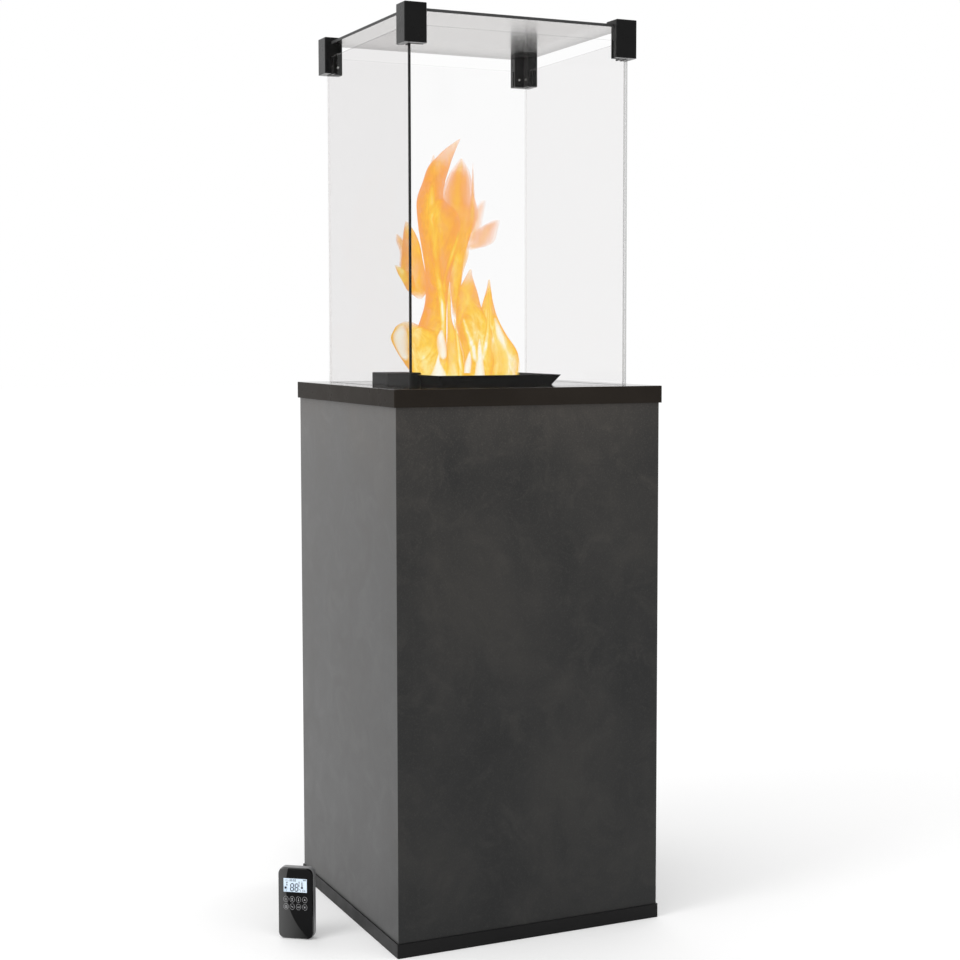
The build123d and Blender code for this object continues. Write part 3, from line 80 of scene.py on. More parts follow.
def make_key_light():
    data = bpy.data.lights.new("key_light", "AREA")
    data.shape = "DISK"
    data.size = KEY_LIGHT_SIZE
    data.energy = KEY_LIGHT_POWER
    light = bpy.data.objects.new("key_light", data)
    light.location = KEY_LIGHT_AT
    direction = Vector(KEY_LIGHT_AIM) - Vector(KEY_LIGHT_AT)
    light.rotation_euler = direction.to_track_quat("-Z", "Y").to_euler()
    light.visible_camera = False
    bpy.context.scene.collection.objects.link(light)


def make_studio():
    """A white room: an even white sky, a soft lamp on the left and a pale floor."""
    scene = bpy.context.scene
    scene.view_settings.view_transform = "Standard"
    scene.cycles.transparent_max_bounces = CLEAR_BOUNCES
    world = bpy.data.worlds.new("studio")
    world.use_nodes = True
    world.node_tree.nodes["Background"].inputs["Color"].default_value = WHITE
    world.node_tree.nodes["Background"].inputs["Strength"].default_value = 1.0
    scene.world = world
    make_key_light()
    floor_mesh = bpy.data.meshes.new("floor")
    corners = [(x * FLOOR_REACH, y * FLOOR_REACH, 0) for x, y in QUARTERS]
    floor_mesh.from_pydata(corners, [], [(0, 1, 2, 3)])
    floor = bpy.data.objects.new("floor", floor_mesh)
    floor.location.z = -FLOOR_DROP
    scene.collection.objects.link(floor)
    paint = bpy.data.materials.new("floor_paint")
    paint.use_nodes = True
    shader = paint.node_tree.nodes["Principled BSDF"]
    settings = (
        ("Base Color", FLOOR_PAINT), ("Roughness", 1.0), ("Specular IOR Level", 0.0),
        ("Emission Color", WHITE), ("Emission Strength", FLOOR_GLOW),
    )
    for socket, value in settings:
        shader.inputs[socket].default_value = value
    floor_mesh.materials.append(paint)


# ---- material kit
SHEEN_ROUGHNESS = 0.35
HALF_TURNED = 0.5  # a surface whose normal leans further than this from an axis is a rim
EVEN = (1, 1, 1)
BRUSHED = (1, 1, 12)


class Nodes:
    """A material's node tree, with one short call for each kind of node."""

    def __init__(self, name):
        self.material = bpy.data.materials.new(name)
        self.material.use_nodes = True
        self.tree = self.material.node_tree
        self.tree.nodes.clear()
        self.output = self.tree.nodes.new("ShaderNodeOutputMaterial")

    def add(self, kind, sockets=None, **settings):
        node = self.tree.nodes.new("ShaderNode" + kind)
        for key, value in settings.items():
            setattr(node, key, value)
        for key, value in (sockets or {}).items():
            if isinstance(value, bpy.types.NodeSocket):
                self.tree.links.new(value, node.inputs[key])
            else:
                node.inputs[key].default_value = value
        return node

    def place(self, stretch=EVEN):
        """Object coordinates in metres, stretched."""
        coordinates = self.add("TexCoord").outputs["Object"]
        return self.add("Mapping", {"Vector": coordinates, "Scale": stretch}).outputs[0]

    def split(self, vector):
        """The x, y and z of a vector."""
        return self.add("SeparateXYZ", {"Vector": vector}).outputs

    def height(self):
        """Metres above the ground."""
        return self.split(self.add("TexCoord").outputs["Object"])[2]

    def noise(self, scale, detail=4.0, roughness=0.55, distortion=0.0, stretch=EVEN):
        sockets = {
            "Vector": self.place(stretch),
            "Scale": scale,
            "Detail": detail,
            "Roughness": roughness,
            "Distortion": distortion,
        }
        return self.add("TexNoise", sockets).outputs["Fac"]

    def ramp(self, factor, stops):
        node = self.add("ValToRGB", {"Fac": factor})
        ramp = node.color_ramp
        while len(ramp.elements) < len(stops):
            ramp.elements.new(0.5)
        for element, (position, colour) in zip(ramp.elements, stops):
            element.position = position
            element.color = (*colour, 1)
        return node.outputs["Color"]

    def blend(self, factor, dark, light, edges=(0.32, 0.68)):
        """Two colours, with a soft change between the edges."""
        return self.ramp(factor, [(edges[0], dark), (edges[1], light)])

    def spread(self, factor, low, high, source=(0.3, 0.7)):
        sockets = {0: factor, 1: source[0], 2: source[1], 3: low, 4: high}
        return self.add("MapRange", sockets, clamp=True).outputs[0]

    def mix(self, factor, first, second, blend="MIX"):
        node = self.add("Mix", data_type="RGBA", blend_type=blend)
        for index, value in ((0, factor), (6, first), (7, second)):
            if isinstance(value, bpy.types.NodeSocket):
                self.tree.links.new(value, node.inputs[index])
            elif index:
                node.inputs[index].default_value = (*value, 1)
            else:
                node.inputs[index].default_value = value
        return node.outputs[2]

    def math(self, operation, first, second=0.0, third=0.0):
        sockets = {0: first, 1: second, 2: third}
        return self.add("Math", sockets, operation=operation).outputs[0]

    def bump(self, height, depth, strength=1.0):
        return self.add("Bump", {"Height": height, "Distance": depth, "Strength": strength}).outputs[0]

    def mirror_share(self, low_angle, most, least):
        """How much a pane mirrors: least when seen straight on, most at a low angle."""
        slant = self.math("POWER", self.add("LayerWeight", {"Blend": 0.5}).outputs["Facing"], low_angle)
        return self.math("MULTIPLY_ADD", slant, most, least)

    def shade(self, factor, first, second):
        """A mix of two shaders."""
        return self.add("MixShader", {0: factor, 1: first.outputs[0], 2: second.outputs[0]})

    def finish(self, shader):
        self.tree.links.new(shader.outputs[0], self.output.inputs["Surface"])
        return self.material

    def paint(self, colour, roughness, specular, relief=None, metallic=0.0, sheen=0.0):
        """The finished material of one principled shader; relief is a bump's output."""
        sockets = {
            "Base Color": colour,
            "Roughness": roughness,
            "Specular IOR Level": specular,
            "Metallic": metallic,
            "Sheen Weight": sheen,
            "Sheen Roughness": SHEEN_ROUGHNESS,
        }
        if relief:
            sockets["Normal"] = relief
        return self.finish(self.add("BsdfPrincipled", sockets))


def coated(name, dark, light, scale, rough, specular, grain, depth, metallic=0.0, stretch=EVEN, sheen=0.0):
    """A painted, moulded or bare surface: cloudy colour, uneven gloss and a fine grain."""
    kit = Nodes(name)
    cloud = kit.noise(scale, 5, stretch=stretch)
    fine = kit.noise(grain, 3, stretch=stretch)
    gloss = kit.spread(kit.noise(scale * 3, 6), *rough)
    return kit.paint(kit.blend(cloud, dark, light), gloss, specular, kit.bump(fine, depth), metallic, sheen)


# for each slot: its darker and lighter colour, how fine its clouds are, its lowest and highest roughness,
# its specular level, how fine its grain is and the grain's depth in metres; then, where they aren't the
# usual ones, how metallic it is, its stretch and its sheen
COATED = {
    "black_steel": ((0.0032, 0.0032, 0.0035), (0.0062, 0.006, 0.006), 6, (0.32, 0.5), 0.16, 900, 0.00005),
    "clamp_black": ((0.004, 0.004, 0.004), (0.0065, 0.0065, 0.0065), 30, (0.24, 0.38), 0.07, 1500,
        0.00003, 0.0, EVEN, 0.45),
    "burner_steel": ((0.005, 0.005, 0.005), (0.011, 0.0105, 0.0098), 12, (0.42, 0.62), 0.08, 1000, 0.00006),
    "stainless": ((0.44, 0.44, 0.43), (0.6, 0.6, 0.59), 30, (0.22, 0.38), 0.5, 500, 0.00003, 1.0, BRUSHED),
    "brass": ((0.52, 0.36, 0.13), (0.68, 0.5, 0.22), 40, (0.2, 0.36), 0.5, 700, 0.00002, 1.0),
    "ceramic_white": ((0.7, 0.69, 0.65), (0.82, 0.81, 0.77), 60, (0.3, 0.5), 0.5, 900, 0.00003),
    "pipe_metal": ((0.55, 0.55, 0.56), (0.72, 0.72, 0.73), 40, (0.25, 0.42), 0.5, 600, 0.00003, 1.0),
    "valve_casting": ((0.36, 0.36, 0.37), (0.5, 0.5, 0.51), 30, (0.4, 0.6), 0.5, 320, 0.0002, 1.0),
    "black_plastic": ((0.009, 0.009, 0.01), (0.016, 0.016, 0.017), 20, (0.38, 0.55), 0.4, 650, 0.00008),
    "rubber_black": ((0.008, 0.008, 0.008), (0.017, 0.017, 0.017), 40, (0.6, 0.8), 0.3, 500, 0.00008),
    "bottle_paint": ((0.30, 0.33, 0.36), (0.36, 0.39, 0.42), 5, (0.25, 0.4), 0.5, 260, 0.00012),
    "battery": ((0.03, 0.05, 0.12), (0.05, 0.08, 0.18), 50, (0.2, 0.35), 0.5, 600, 0.00001),
    "remote_silver": ((0.2, 0.2, 0.205), (0.26, 0.26, 0.265), 60, (0.28, 0.4), 0.5, 900, 0.00003),
    "circuit_board": ((0.008, 0.07, 0.028), (0.015, 0.11, 0.045), 160, (0.25, 0.4), 0.5, 700, 0.00004),
}
# a name and the same columns, for pieces that aren't in the record
MARKS_WHITE = ("marks_white", (0.62, 0.62, 0.6), (0.72, 0.72, 0.7), 300, (0.4, 0.55), 0.3, 900, 0.000005)
LAMP_GREEN = ("lamp_green", (0.03, 0.32, 0.06), (0.05, 0.42, 0.09), 300, (0.08, 0.15), 0.5, 900, 0.000005)
DISPLAY_INK = (
    "display_ink", (0.004, 0.006, 0.02), (0.008, 0.011, 0.032), 200, (0.3, 0.45), 0.2, 900, 0.000005)
KEY_PRINT = ("key_print", (0.36, 0.36, 0.37), (0.46, 0.46, 0.47), 200, (0.3, 0.5), 0.3, 900, 0.000005)

PLATE_TOP_NORMAL = 0.7  # only the plate's upper and lower faces point up or down by more than this
RIM_SPECULAR = 0.02
TOP_SPECULAR = 0.15
FOOT_PAD_TOP = 5.0 * MM
THREAD_PITCH = 1.25 * MM
THREAD_DEPTH = 0.4 * MM
GRAIN_TO_THREAD = 0.12
STONE_RELIEF = 0.35 * MM


def plate_material():
    """Black coated sheet: matt on its rim, wiped to a gloss on its upper face."""
    kit = Nodes("plate_black")
    upward = kit.split(kit.add("TexCoord").outputs["Normal"])[2]
    on_top = kit.math("GREATER_THAN", kit.math("ABSOLUTE", upward), PLATE_TOP_NORMAL)
    colour = kit.blend(kit.noise(7, 5), (0.0165, 0.0135, 0.011), (0.022, 0.0182, 0.015))
    matt = kit.spread(kit.noise(21, 6), 0.24, 0.36)
    wiped = kit.spread(kit.noise(21, 6), 0.05, 0.11)
    gloss = kit.add("MapRange", {0: on_top, 1: 0.0, 2: 1.0, 3: matt, 4: wiped}).outputs[0]
    specular = kit.spread(on_top, RIM_SPECULAR, TOP_SPECULAR, (0.0, 1.0))
    return kit.paint(colour, gloss, specular, kit.bump(kit.noise(1100, 3), 0.00001))


def foot_material():
    """A moulded pad below, a zinc-plated stem with a rolled thread above."""
    kit = Nodes("foot_pad_and_thread")
    height = kit.height()
    on_stem = kit.math("GREATER_THAN", height, FOOT_PAD_TOP)
    pad = kit.blend(kit.noise(20, 5), (0.009, 0.009, 0.01), (0.016, 0.016, 0.017))
    zinc = kit.blend(kit.noise(60, 5), (0.46, 0.46, 0.44), (0.62, 0.62, 0.6), (0.3, 0.7))
    turns = kit.math("SINE", kit.math("MULTIPLY", height, 2 * math.pi / THREAD_PITCH))
    thread = kit.math("MULTIPLY", turns, on_stem)
    relief = kit.math("ADD", thread, kit.math("MULTIPLY", kit.noise(650, 3), GRAIN_TO_THREAD))
    gloss = kit.spread(kit.noise(60, 5), 0.3, 0.48)
    return kit.paint(kit.mix(on_stem, pad, zinc), gloss, 0.4, kit.bump(relief, THREAD_DEPTH), on_stem)


def stone_material():
    """Honed dark stone: soft clouds, paler veils, a fine speckle; painted light makes it paler and warmer towards
    the top, where its sheen grows.
    """
    kit = Nodes("honed_stone")
    height = kit.height()
    cloud = kit.noise(4.5, 8, 0.62, 0.5, stretch=(1, 1, 0.75))
    veil = kit.noise(17, 9, 0.66, 0.9)
    speckle = kit.noise(420, 3, 0.6)
    base = kit.ramp(cloud, [
        (0.34, (0.0242, 0.0248, 0.0252)), (0.52, (0.0389, 0.0382, 0.0372)), (0.70, (0.0609, 0.0578, 0.0536)),
    ])
    base = kit.mix(kit.spread(veil, 0.0, 0.5, (0.5, 0.74)), base, (0.0798, 0.0756, 0.0693))
    base = kit.mix(kit.spread(speckle, 0.0, 0.30, (0.52, 0.74)), base, (0.105, 0.1008, 0.0924))
    # painted light: the tone at four heights in metres, darker low down and paler and warmer towards the top as if
    # lit from above
    level = kit.ramp(height, [
        (0.05, (0.4, 0.41, 0.42)), (0.55, (0.5, 0.495, 0.49)),
        (0.82, (0.66, 0.635, 0.61)), (0.955, (1.0, 0.92, 0.85)),
    ])
    base = kit.mix(1.0, base, level, "MULTIPLY")
    gloss = kit.math("ADD", kit.spread(veil, 0.0, 0.12), kit.spread(cloud, 0.30, 0.42))
    relief = kit.math("ADD", kit.math("MULTIPLY", speckle, 0.5), veil)
    # more sheen towards the top
    upper_sheen = kit.spread(height, 0.44, 0.56, (0.1, 0.9))
    return kit.paint(base, gloss, 0.2, kit.bump(relief, STONE_RELIEF, 0.35), sheen=upper_sheen)


def pane_material(name, face_axis, tint, low_angle):
    """A thin clear pane: tinted, mirror-like at a low angle; its ends carry painted shade, dark at the front left
    corner and paler towards the rear right.
    """
    kit = Nodes(name)
    coordinates = kit.add("TexCoord")
    normal = kit.split(coordinates.outputs["Normal"])
    facing = kit.math("ABSOLUTE", normal[face_axis])
    on_end = kit.math("LESS_THAN", facing, HALF_TURNED)
    clear = kit.add("BsdfTransparent", {"Color": (*tint, 1)})
    smear = kit.noise(9, 5, 0.6, 0.4, stretch=(1, 1, 0.5))
    mirror = kit.add("BsdfGlossy", {"Color": WHITE, "Roughness": kit.spread(smear, 0.0, 0.03)})
    pane = kit.shade(kit.mirror_share(low_angle, 0.96, 0.006), clear, mirror)
    place = kit.split(coordinates.outputs["Object"])
    # 0 at the front left corner and 1 at the rear right one
    corner = kit.math("MULTIPLY_ADD", place[0], 0.5, place[1])
    rise = kit.spread(corner, 0.0, 1.0, (-0.31, 0.31))
    # painted shade on the ends: darkest at the front left corner, greyer and paler towards the rear right
    tone = kit.ramp(rise, [(0.0, (0.012, 0.012, 0.012)), (0.34, (0.3, 0.3, 0.3)), (0.66, (0.8, 0.8, 0.8))])
    ground = kit.add("BsdfPrincipled", {"Base Color": tone, "Roughness": 0.5, "Specular IOR Level": 0.05})
    # painted light: the ends turn clear towards the rear right, and the upper and lower ends are mostly clear
    painted_light_share = kit.spread(rise, 0.0, 0.85, (0.1, 0.55))
    level = kit.math("ABSOLUTE", normal["Z"])
    painted_bright_end = kit.math("MAXIMUM", painted_light_share, kit.math("MULTIPLY", level, 0.8))
    return kit.finish(kit.shade(on_end, pane, kit.shade(painted_bright_end, ground, clear)))


def roof_material():
    """The glass lid: smoky at a low angle, a blurred mirror below, with dark rims."""
    kit = Nodes("glass_roof_clear")
    upward = kit.split(kit.add("TexCoord").outputs["Normal"])[2]
    on_end = kit.math("LESS_THAN", kit.math("ABSOLUTE", upward), HALF_TURNED)
    clear = kit.add("BsdfTransparent", {"Color": (0.86, 0.855, 0.85, 1)})
    smear = kit.noise(6, 5, 0.6, 0.4)
    blur = kit.spread(smear, 0.14, 0.2)
    mirror = kit.add("BsdfGlossy", {"Color": (0.78, 0.77, 0.765, 1), "Roughness": blur})
    pane = kit.shade(kit.mirror_share(2.0, 0.97, 0.01), clear, mirror)
    tone = kit.blend(kit.noise(40), (0.03, 0.03, 0.03), (0.05, 0.05, 0.05), (0.3, 0.7))
    ground = kit.add("BsdfPrincipled", {"Base Color": tone, "Roughness": 0.5, "Specular IOR Level": 0.2})
    return kit.finish(kit.shade(on_end, pane, ground))


def dress_frame(finishes):
    """Give every CAD node its finish."""
    # the axis across the glass, its tint, and how low the angle has to be before it mirrors
    panes = {
        "glass_front": ("Y", (0.992, 0.992, 0.992), 5.0),
        "glass_rear": ("Y", (0.99, 0.99, 0.99), 5.0),
        "glass_left": ("X", (0.914, 0.909, 0.909), 9.0),
        "glass_right": ("X", (0.949, 0.946, 0.946), 9.0),
    }
    slots = {part["node"]: part["material_slot"] for part in frame["record"]["subparts"]}
    for name, thing in NODES.items():
        if name in panes:
            finish = pane_material(name + "_clear", *panes[name])
        elif name == "glass_roof":
            finish = roof_material()
        else:
            finish = finishes[slots[name]]
        for place in thing.material_slots:
            place.material = finish


def make_finishes():
    """The material of each slot of the record."""
    finishes = {slot: coated(slot, *settings) for slot, settings in COATED.items()}
    finishes.update(
        top_black=plate_material(), stone_panel=stone_material(), foot_plastic=foot_material(),
        remote_gloss=remote_face_material(), display=display_material(),
    )
    return finishes


# ---- meshes
SMOOTH_ALL = math.radians(180)
SMOOTH_BELOW = math.radians(35)


def piece(name, vertices, faces, material, body, smooth=True):
    """A new object on a body, from its corners and faces in metres."""
    mesh = bpy.data.meshes.new(name)
    mesh.from_pydata([tuple(vertex) for vertex in vertices], [], faces)
    mesh.validate()
    mesh.update()
    made = bpy.data.objects.new(name, mesh)
    mesh.materials.append(material)
    mesh.shade_smooth()
    mesh.set_sharp_from_angle(angle=SMOOTH_ALL if smooth else SMOOTH_BELOW)
    bpy.context.scene.collection.objects.link(made)
    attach(made, body)
    return made


class Build:
    """Gathers solids, each a closed shell, into one list of corners and faces."""

    def __init__(self):
        self.vertices = []
        self.faces = []

    def rings(self, rings, closed=False):
        """Skins rings of equal count, capping the ends with fans unless the last joins the first."""
        first = len(self.vertices)
        count = len(rings[0])
        for ring in rings:
            self.vertices.extend(ring)
        steps = len(rings) if closed else len(rings) - 1
        for step in range(steps):
            low = first + step * count
            high = first + (step + 1) % len(rings) * count
            for turn in range(count):
                after = (turn + 1) % count
                self.faces.append((low + turn, low + after, high + after, high + turn))
        if closed:
            return
        for ring, start, flip in ((rings[0], first, True), (rings[-1], first + steps * count, False)):
            hub = len(self.vertices)
            self.vertices.append(sum(ring, Vector()) / count)
            for turn in range(count):
                after = (turn + 1) % count
                face = (start + turn, start + after, hub)
                self.faces.append(face[::-1] if flip else face)

    def tube(self, path, radius, sides=10, closed=False):
        """A round bar along a path; radius may be one number or one per point."""
        points = [Vector(point) for point in path]
        radii = radius if isinstance(radius, list) else [radius] * len(points)
        count = len(points)
        rings = []
        side = None
        for index, point in enumerate(points):
            if closed:
                along = points[(index + 1) % count] - points[index - 1]
            else:
                along = points[min(index + 1, count - 1)] - points[max(index - 1, 0)]
            along.normalize()
            if side is None:
                side = along.orthogonal().normalized()
            side = (side - along * side.dot(along)).normalized()
            other = along.cross(side)
            ring = []
            for turn in range(sides):
                angle = 2 * math.pi * turn / sides
                ring.append(point + (side * math.cos(angle) + other * math.sin(angle)) * radii[index])
            rings.append(ring)
        self.rings(rings, closed)

    def prism(self, outline, lift):
        """A flat outline, thickened by the vector lift."""
        lower = [Vector(point) for point in outline]
        self.rings([lower, [point + lift for point in lower]])


def crisp_piece(name, build, material, body):
    """A new object from gathered solids, with its edges kept sharp."""
    piece(name, build.vertices, build.faces, material, body, False)


# ---- remote control
REMOTE_OUT = -Vector(JOINTS["battery_cover_pull"]["axis"]).normalized()
REMOTE_RIGHT = UP.cross(REMOTE_OUT)
DISPLAY_DEPTH = 0.8 * MM
# where the painted reflection lies on the remote's face
PAINTED_SWEEP_REACH = 0.12  # the radius of the circle that the painted reflection ends along
PAINTED_SWEEP_ACROSS = 0.103
PAINTED_SWEEP_DOWN = 0.003
PAINTED_SWEEP_SOFT = 0.005
PRINT_THICK = 0.05


def remote_face():
    """The centre of the display, on the remote's front face."""
    low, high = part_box("remote_display")
    return (Vector(low) + Vector(high)) / 2 + REMOTE_OUT * DISPLAY_DEPTH / 2


def on_remote(across, up, lift=0.0):
    """A point on the remote's face, in millimetres from the display's centre."""
    return remote_face() + REMOTE_RIGHT * across * MM + UP * up * MM + REMOTE_OUT * lift * MM


def remote_face_material():
    """Gloss black front with a painted reflection: a paler sweep on its left."""
    kit = Nodes("remote_face")
    centre = remote_face()
    place = kit.add("TexCoord").outputs["Object"]
    across = kit.add("VectorMath", {0: place, 1: REMOTE_RIGHT}, operation="DOT_PRODUCT").outputs["Value"]
    up = kit.split(place)[2]
    # the painted reflection, a paler sweep, ends along a large circle that bulges to the left below the display
    middle = centre.dot(REMOTE_RIGHT)
    side = kit.math("MULTIPLY", kit.math("SUBTRACT", across, middle + PAINTED_SWEEP_ACROSS), 1 / PAINTED_SWEEP_REACH)
    rise = kit.math("MULTIPLY", kit.math("SUBTRACT", up, centre.z - PAINTED_SWEEP_DOWN), 1 / PAINTED_SWEEP_REACH)
    reach = kit.math("ADD", kit.math("MULTIPLY", side, side), kit.math("MULTIPLY", rise, rise))
    in_painted_reflection = kit.spread(reach, 1.0, 0.0, (1 - PAINTED_SWEEP_SOFT, 1 + PAINTED_SWEEP_SOFT))
    # painted reflection: palest at the left, fading towards the right
    painted_reflection = kit.spread(across, 0.085, 0.012, (middle - 0.031, middle + 0.018))
    colour = kit.mix(in_painted_reflection, painted_reflection, (0.0018, 0.0018, 0.0022))
    return kit.paint(colour, kit.spread(kit.noise(60, 4), 0.05, 0.11), 0.12)


def display_material():
    """A pale blue display, faintly cloudy."""
    kit = Nodes("display_glow")
    glow = kit.blend(kit.noise(30, 2), (0.62, 0.76, 0.90), (0.74, 0.85, 0.96), (0.3, 0.7))
    return kit.paint(glow, kit.spread(kit.noise(200), 0.15, 0.25), 0.2)


def stroke(build, points, width=0.35, closed=False, lift=PRINT_THICK):
    """A printed line on the remote's face: a flat ribbon through points in millimetres."""
    count = len(points)
    left, right = [], []
    for index, (x, y) in enumerate(points):
        if closed:
            before, after = points[index - 1], points[(index + 1) % count]
        else:
            before, after = points[max(index - 1, 0)], points[min(index + 1, count - 1)]
        along = Vector((after[0] - before[0], after[1] - before[1])).normalized()
        left.append((x - along.y * width / 2, y + along.x * width / 2))
        right.append((x + along.y * width / 2, y - along.x * width / 2))
    rings = []
    for (lx, ly), (rx, ry) in zip(left, right):
        corners = ((lx, ly, 0.0), (rx, ry, 0.0), (rx, ry, lift), (lx, ly, lift))
        rings.append([on_remote(*corner) for corner in corners])
    build.rings(rings, closed)


def patch(build, points, lift=PRINT_THICK):
    """A printed area on the remote's face, from its outline in millimetres."""
    build.prism([on_remote(x, y) for x, y in points], REMOTE_OUT * lift * MM)


def oblong(x, y, wide, high):
    """The corners of a rectangle, from its lower left one."""
    return [(x, y), (x + wide, y), (x + wide, y + high), (x, y + high)]


def oval(x, y, wide, high, start=0.0, sweep=360.0, count=28):
    """Points along an oval or part of it, anticlockwise from start degrees."""
    steps = count if sweep >= 360 else count + 1
    turns = [math.radians(start + sweep * step / count) for step in range(steps)]
    return [(x + wide * math.cos(turn), y + high * math.sin(turn)) for turn in turns]


# ends of each bar of a digit, in digit widths across and half heights up: level bars, then upright ones
SEGMENTS = (
    ((0, 2), (1, 2)), ((0, 1), (1, 1)), ((0, 0), (1, 0)),
    ((0, 1), (0, 2)), ((1, 1), (1, 2)), ((0, 0), (0, 1)), ((1, 0), (1, 1)),
)


DIGIT_SLANT = 0.06
DIGIT_GAP = 0.15
DIGIT_THICK = 0.06


def digit(build, x, y, wide, high, thick):
    """A lit figure 8 from seven pointed bars; x, y is its lower left corner."""
    slant = DIGIT_SLANT * high
    for (x0, y0), (x1, y1) in SEGMENTS:
        start = Vector((x + x0 * wide + slant * y0 / 2, y + y0 * high / 2))
        end = Vector((x + x1 * wide + slant * y1 / 2, y + y1 * high / 2))
        along = (end - start).normalized()
        over = Vector((-along.y, along.x)) * thick / 2
        start += along * thick * DIGIT_GAP
        end -= along * thick * DIGIT_GAP
        inset = along * thick / 2
        near, far = start + inset, end - inset
        corners = (start, near - over, far - over, end, far + over, near + over)
        patch(build, [tuple(corner) for corner in corners], DIGIT_THICK)


def flame_line(x, y, size):
    """A small flame outline in millimetres."""
    right = ((0, -1), (0.55, -0.75), (0.62, -0.1), (0.3, 0.45), (0.1, 1))
    left = ((-0.12, 0.3), (-0.3, 0.05), (-0.6, -0.35), (-0.5, -0.8))
    return [(x + size * across, y + size * up) for across, up in right + left]


def display_marks():
    """What the display shows, in millimetres from its centre: a clock, big figures and small signs."""
    build = Build()
    for column in range(4):
        digit(build, -9.9 + column * 2.8 + (1.0 if column > 1 else 0), 6.9, 1.5, 3.8, 0.55)
    for up in (7.7, 9.3):
        patch(build, oblong(-4.6, up, 0.5, 0.5))
    for column in range(2):
        digit(build, -8.6 + column * 8.1, -10.0, 5.2, 12.8, 1.7)
    # battery sign
    stroke(build, oblong(14.0, 8.6, 5.6, 2.4), 0.35, True)
    for bar in range(3):
        patch(build, oblong(14.5 + bar * 1.65, 9.1, 1.2, 1.4))
    # thermometer, with its ticks
    patch(build, oval(12.2, -3.8, 2.0, 2.0, count=20))
    patch(build, oblong(11.5, -2.4, 1.4, 7.6))
    stroke(build, [(11.4, 5.2), (11.4, 6.4), (11.9, 7.2), (12.5, 7.2), (13.0, 6.4), (13.0, 5.2)], 0.3)
    for tick in range(5):
        stroke(build, [(13.6, -0.6 + tick * 1.4), (14.6, -0.6 + tick * 1.4)], 0.3)
    # wireless arcs, degree bracket
    for radius in (0.9, 1.7, 2.5):
        stroke(build, oval(7.0, 4.2, radius, radius, 55, 70, 8))
    stroke(build, oval(7.0, 3.6, 0.9, 0.9), 0.35, True)
    stroke(build, [(9.2, 1.6), (7.4, 1.6), (7.4, -2.4), (9.2, -2.4)], 0.45)
    stroke(build, [(7.4, -0.4), (8.8, -0.4)], 0.45)
    # flames, plus signs, hourglass, dial and the two programme numbers
    for across, size in ((13.2, 1.8), (15.4, 2.6), (17.6, 1.8)):
        stroke(build, flame_line(across, -10.2 + size * 0.8, size), 0.35, True)
    plus_sign(build, 8.2, -6.9, 1.3, 0.45)
    plus_sign(build, 9.4, -9.2, 1.3, 0.45)
    hourglass(build, -15.0, 2.3, 1.8, 2.9)
    patch(build, oval(-17.3, -4.9, 2.0, 2.0, count=20))
    stroke(build, oblong(-19.9, -7.5, 5.2, 5.2), 0.3, True)
    stroke(build, [(-18.8, -10.9), (-18.8, -9.0)], 0.45)
    two = ((-0.6, 1.9), (0.6, 1.9), (0.6, 1.0), (-0.6, 0.9), (-0.6, 0.0), (0.6, 0.0))
    stroke(build, [(-15.8 + across, -10.9 + up) for across, up in two])
    stroke(build, [(-19.0, 9.6), (-17.4, 7.6), (-15.6, 9.6)], 0.5)
    stroke(build, oblong(-14.8, 6.9, 2.4, 2.5), 0.35, True)
    return build


def plus_sign(build, x, y, arm, width):
    """A cross with arms of one length. Each sign below is centred on x, y."""
    half = width / 2
    shape = [(-arm, -half), (-half, -half), (-half, -arm), (half, -arm), (half, -half), (arm, -half)]
    shape += [(-across, -up) for across, up in shape]
    patch(build, [(x + across, y + up) for across, up in shape])


def hourglass(build, x, y, wide=1.5, high=1.9):
    for side in (1, -1):
        end = y + side * high * 0.8
        patch(build, [(x, y), (x + side * wide * 0.8, end), (x - side * wide * 0.8, end)])
        stroke(build, [(x - wide, y + side * high), (x + wide, y + side * high)], 0.4)


def power_sign(build, x, y):
    stroke(build, oval(x, y - 0.1, 1.75, 1.75, 125, 290, 20), 0.4)
    stroke(build, [(x, y + 0.2), (x, y + 2.1)], 0.4)


def warmth_sign(build, x, y):
    stroke(build, [(x, y - 1.2), (x, y + 2.4)], 0.75)
    patch(build, oval(x, y - 1.9, 0.85, 0.85, count=14))


def up_sign(build, x, y, side=1):
    """An arrow head, which points down when side is -1."""
    shape = ((0, 2.3), (1.7, -1.7), (0, -0.7), (-1.7, -1.7))
    patch(build, [(x + across, y + side * up) for across, up in shape])


def down_sign(build, x, y):
    up_sign(build, x, y, -1)


def dial_sign(build, x, y):
    stroke(build, oval(x, y, 1.8, 1.8), 0.6, True)
    stroke(build, [(x, y + 1.1), (x, y), (x + 0.8, y - 0.5)], 0.4)
    stroke(build, [(x - 2.3, y - 2.0), (x + 1.9, y - 2.0)], 0.35)


def pair_sign(build, x, y):
    plus_sign(build, x - 0.9, y + 0.7, 1.1, 0.5)
    plus_sign(build, x + 0.9, y - 0.9, 1.1, 0.5)


def fire_sign(build, x, y):
    for across, size in ((-1.4, 1.2), (0.2, 1.7), (1.6, 1.2)):
        stroke(build, flame_line(x + across, y - 0.6 + size * 0.3, size), 0.3, True)


KEY_PITCH = 11.3
KEY_ROWS = (-24.9, -38.0)  # below the display's centre
KEY_HALF = (4.2, 5.1)
KEY_LINE = 0.38
KEY_SIGNS = (
    (power_sign, hourglass, warmth_sign, up_sign),
    (dial_sign, pair_sign, fire_sign, down_sign),
)


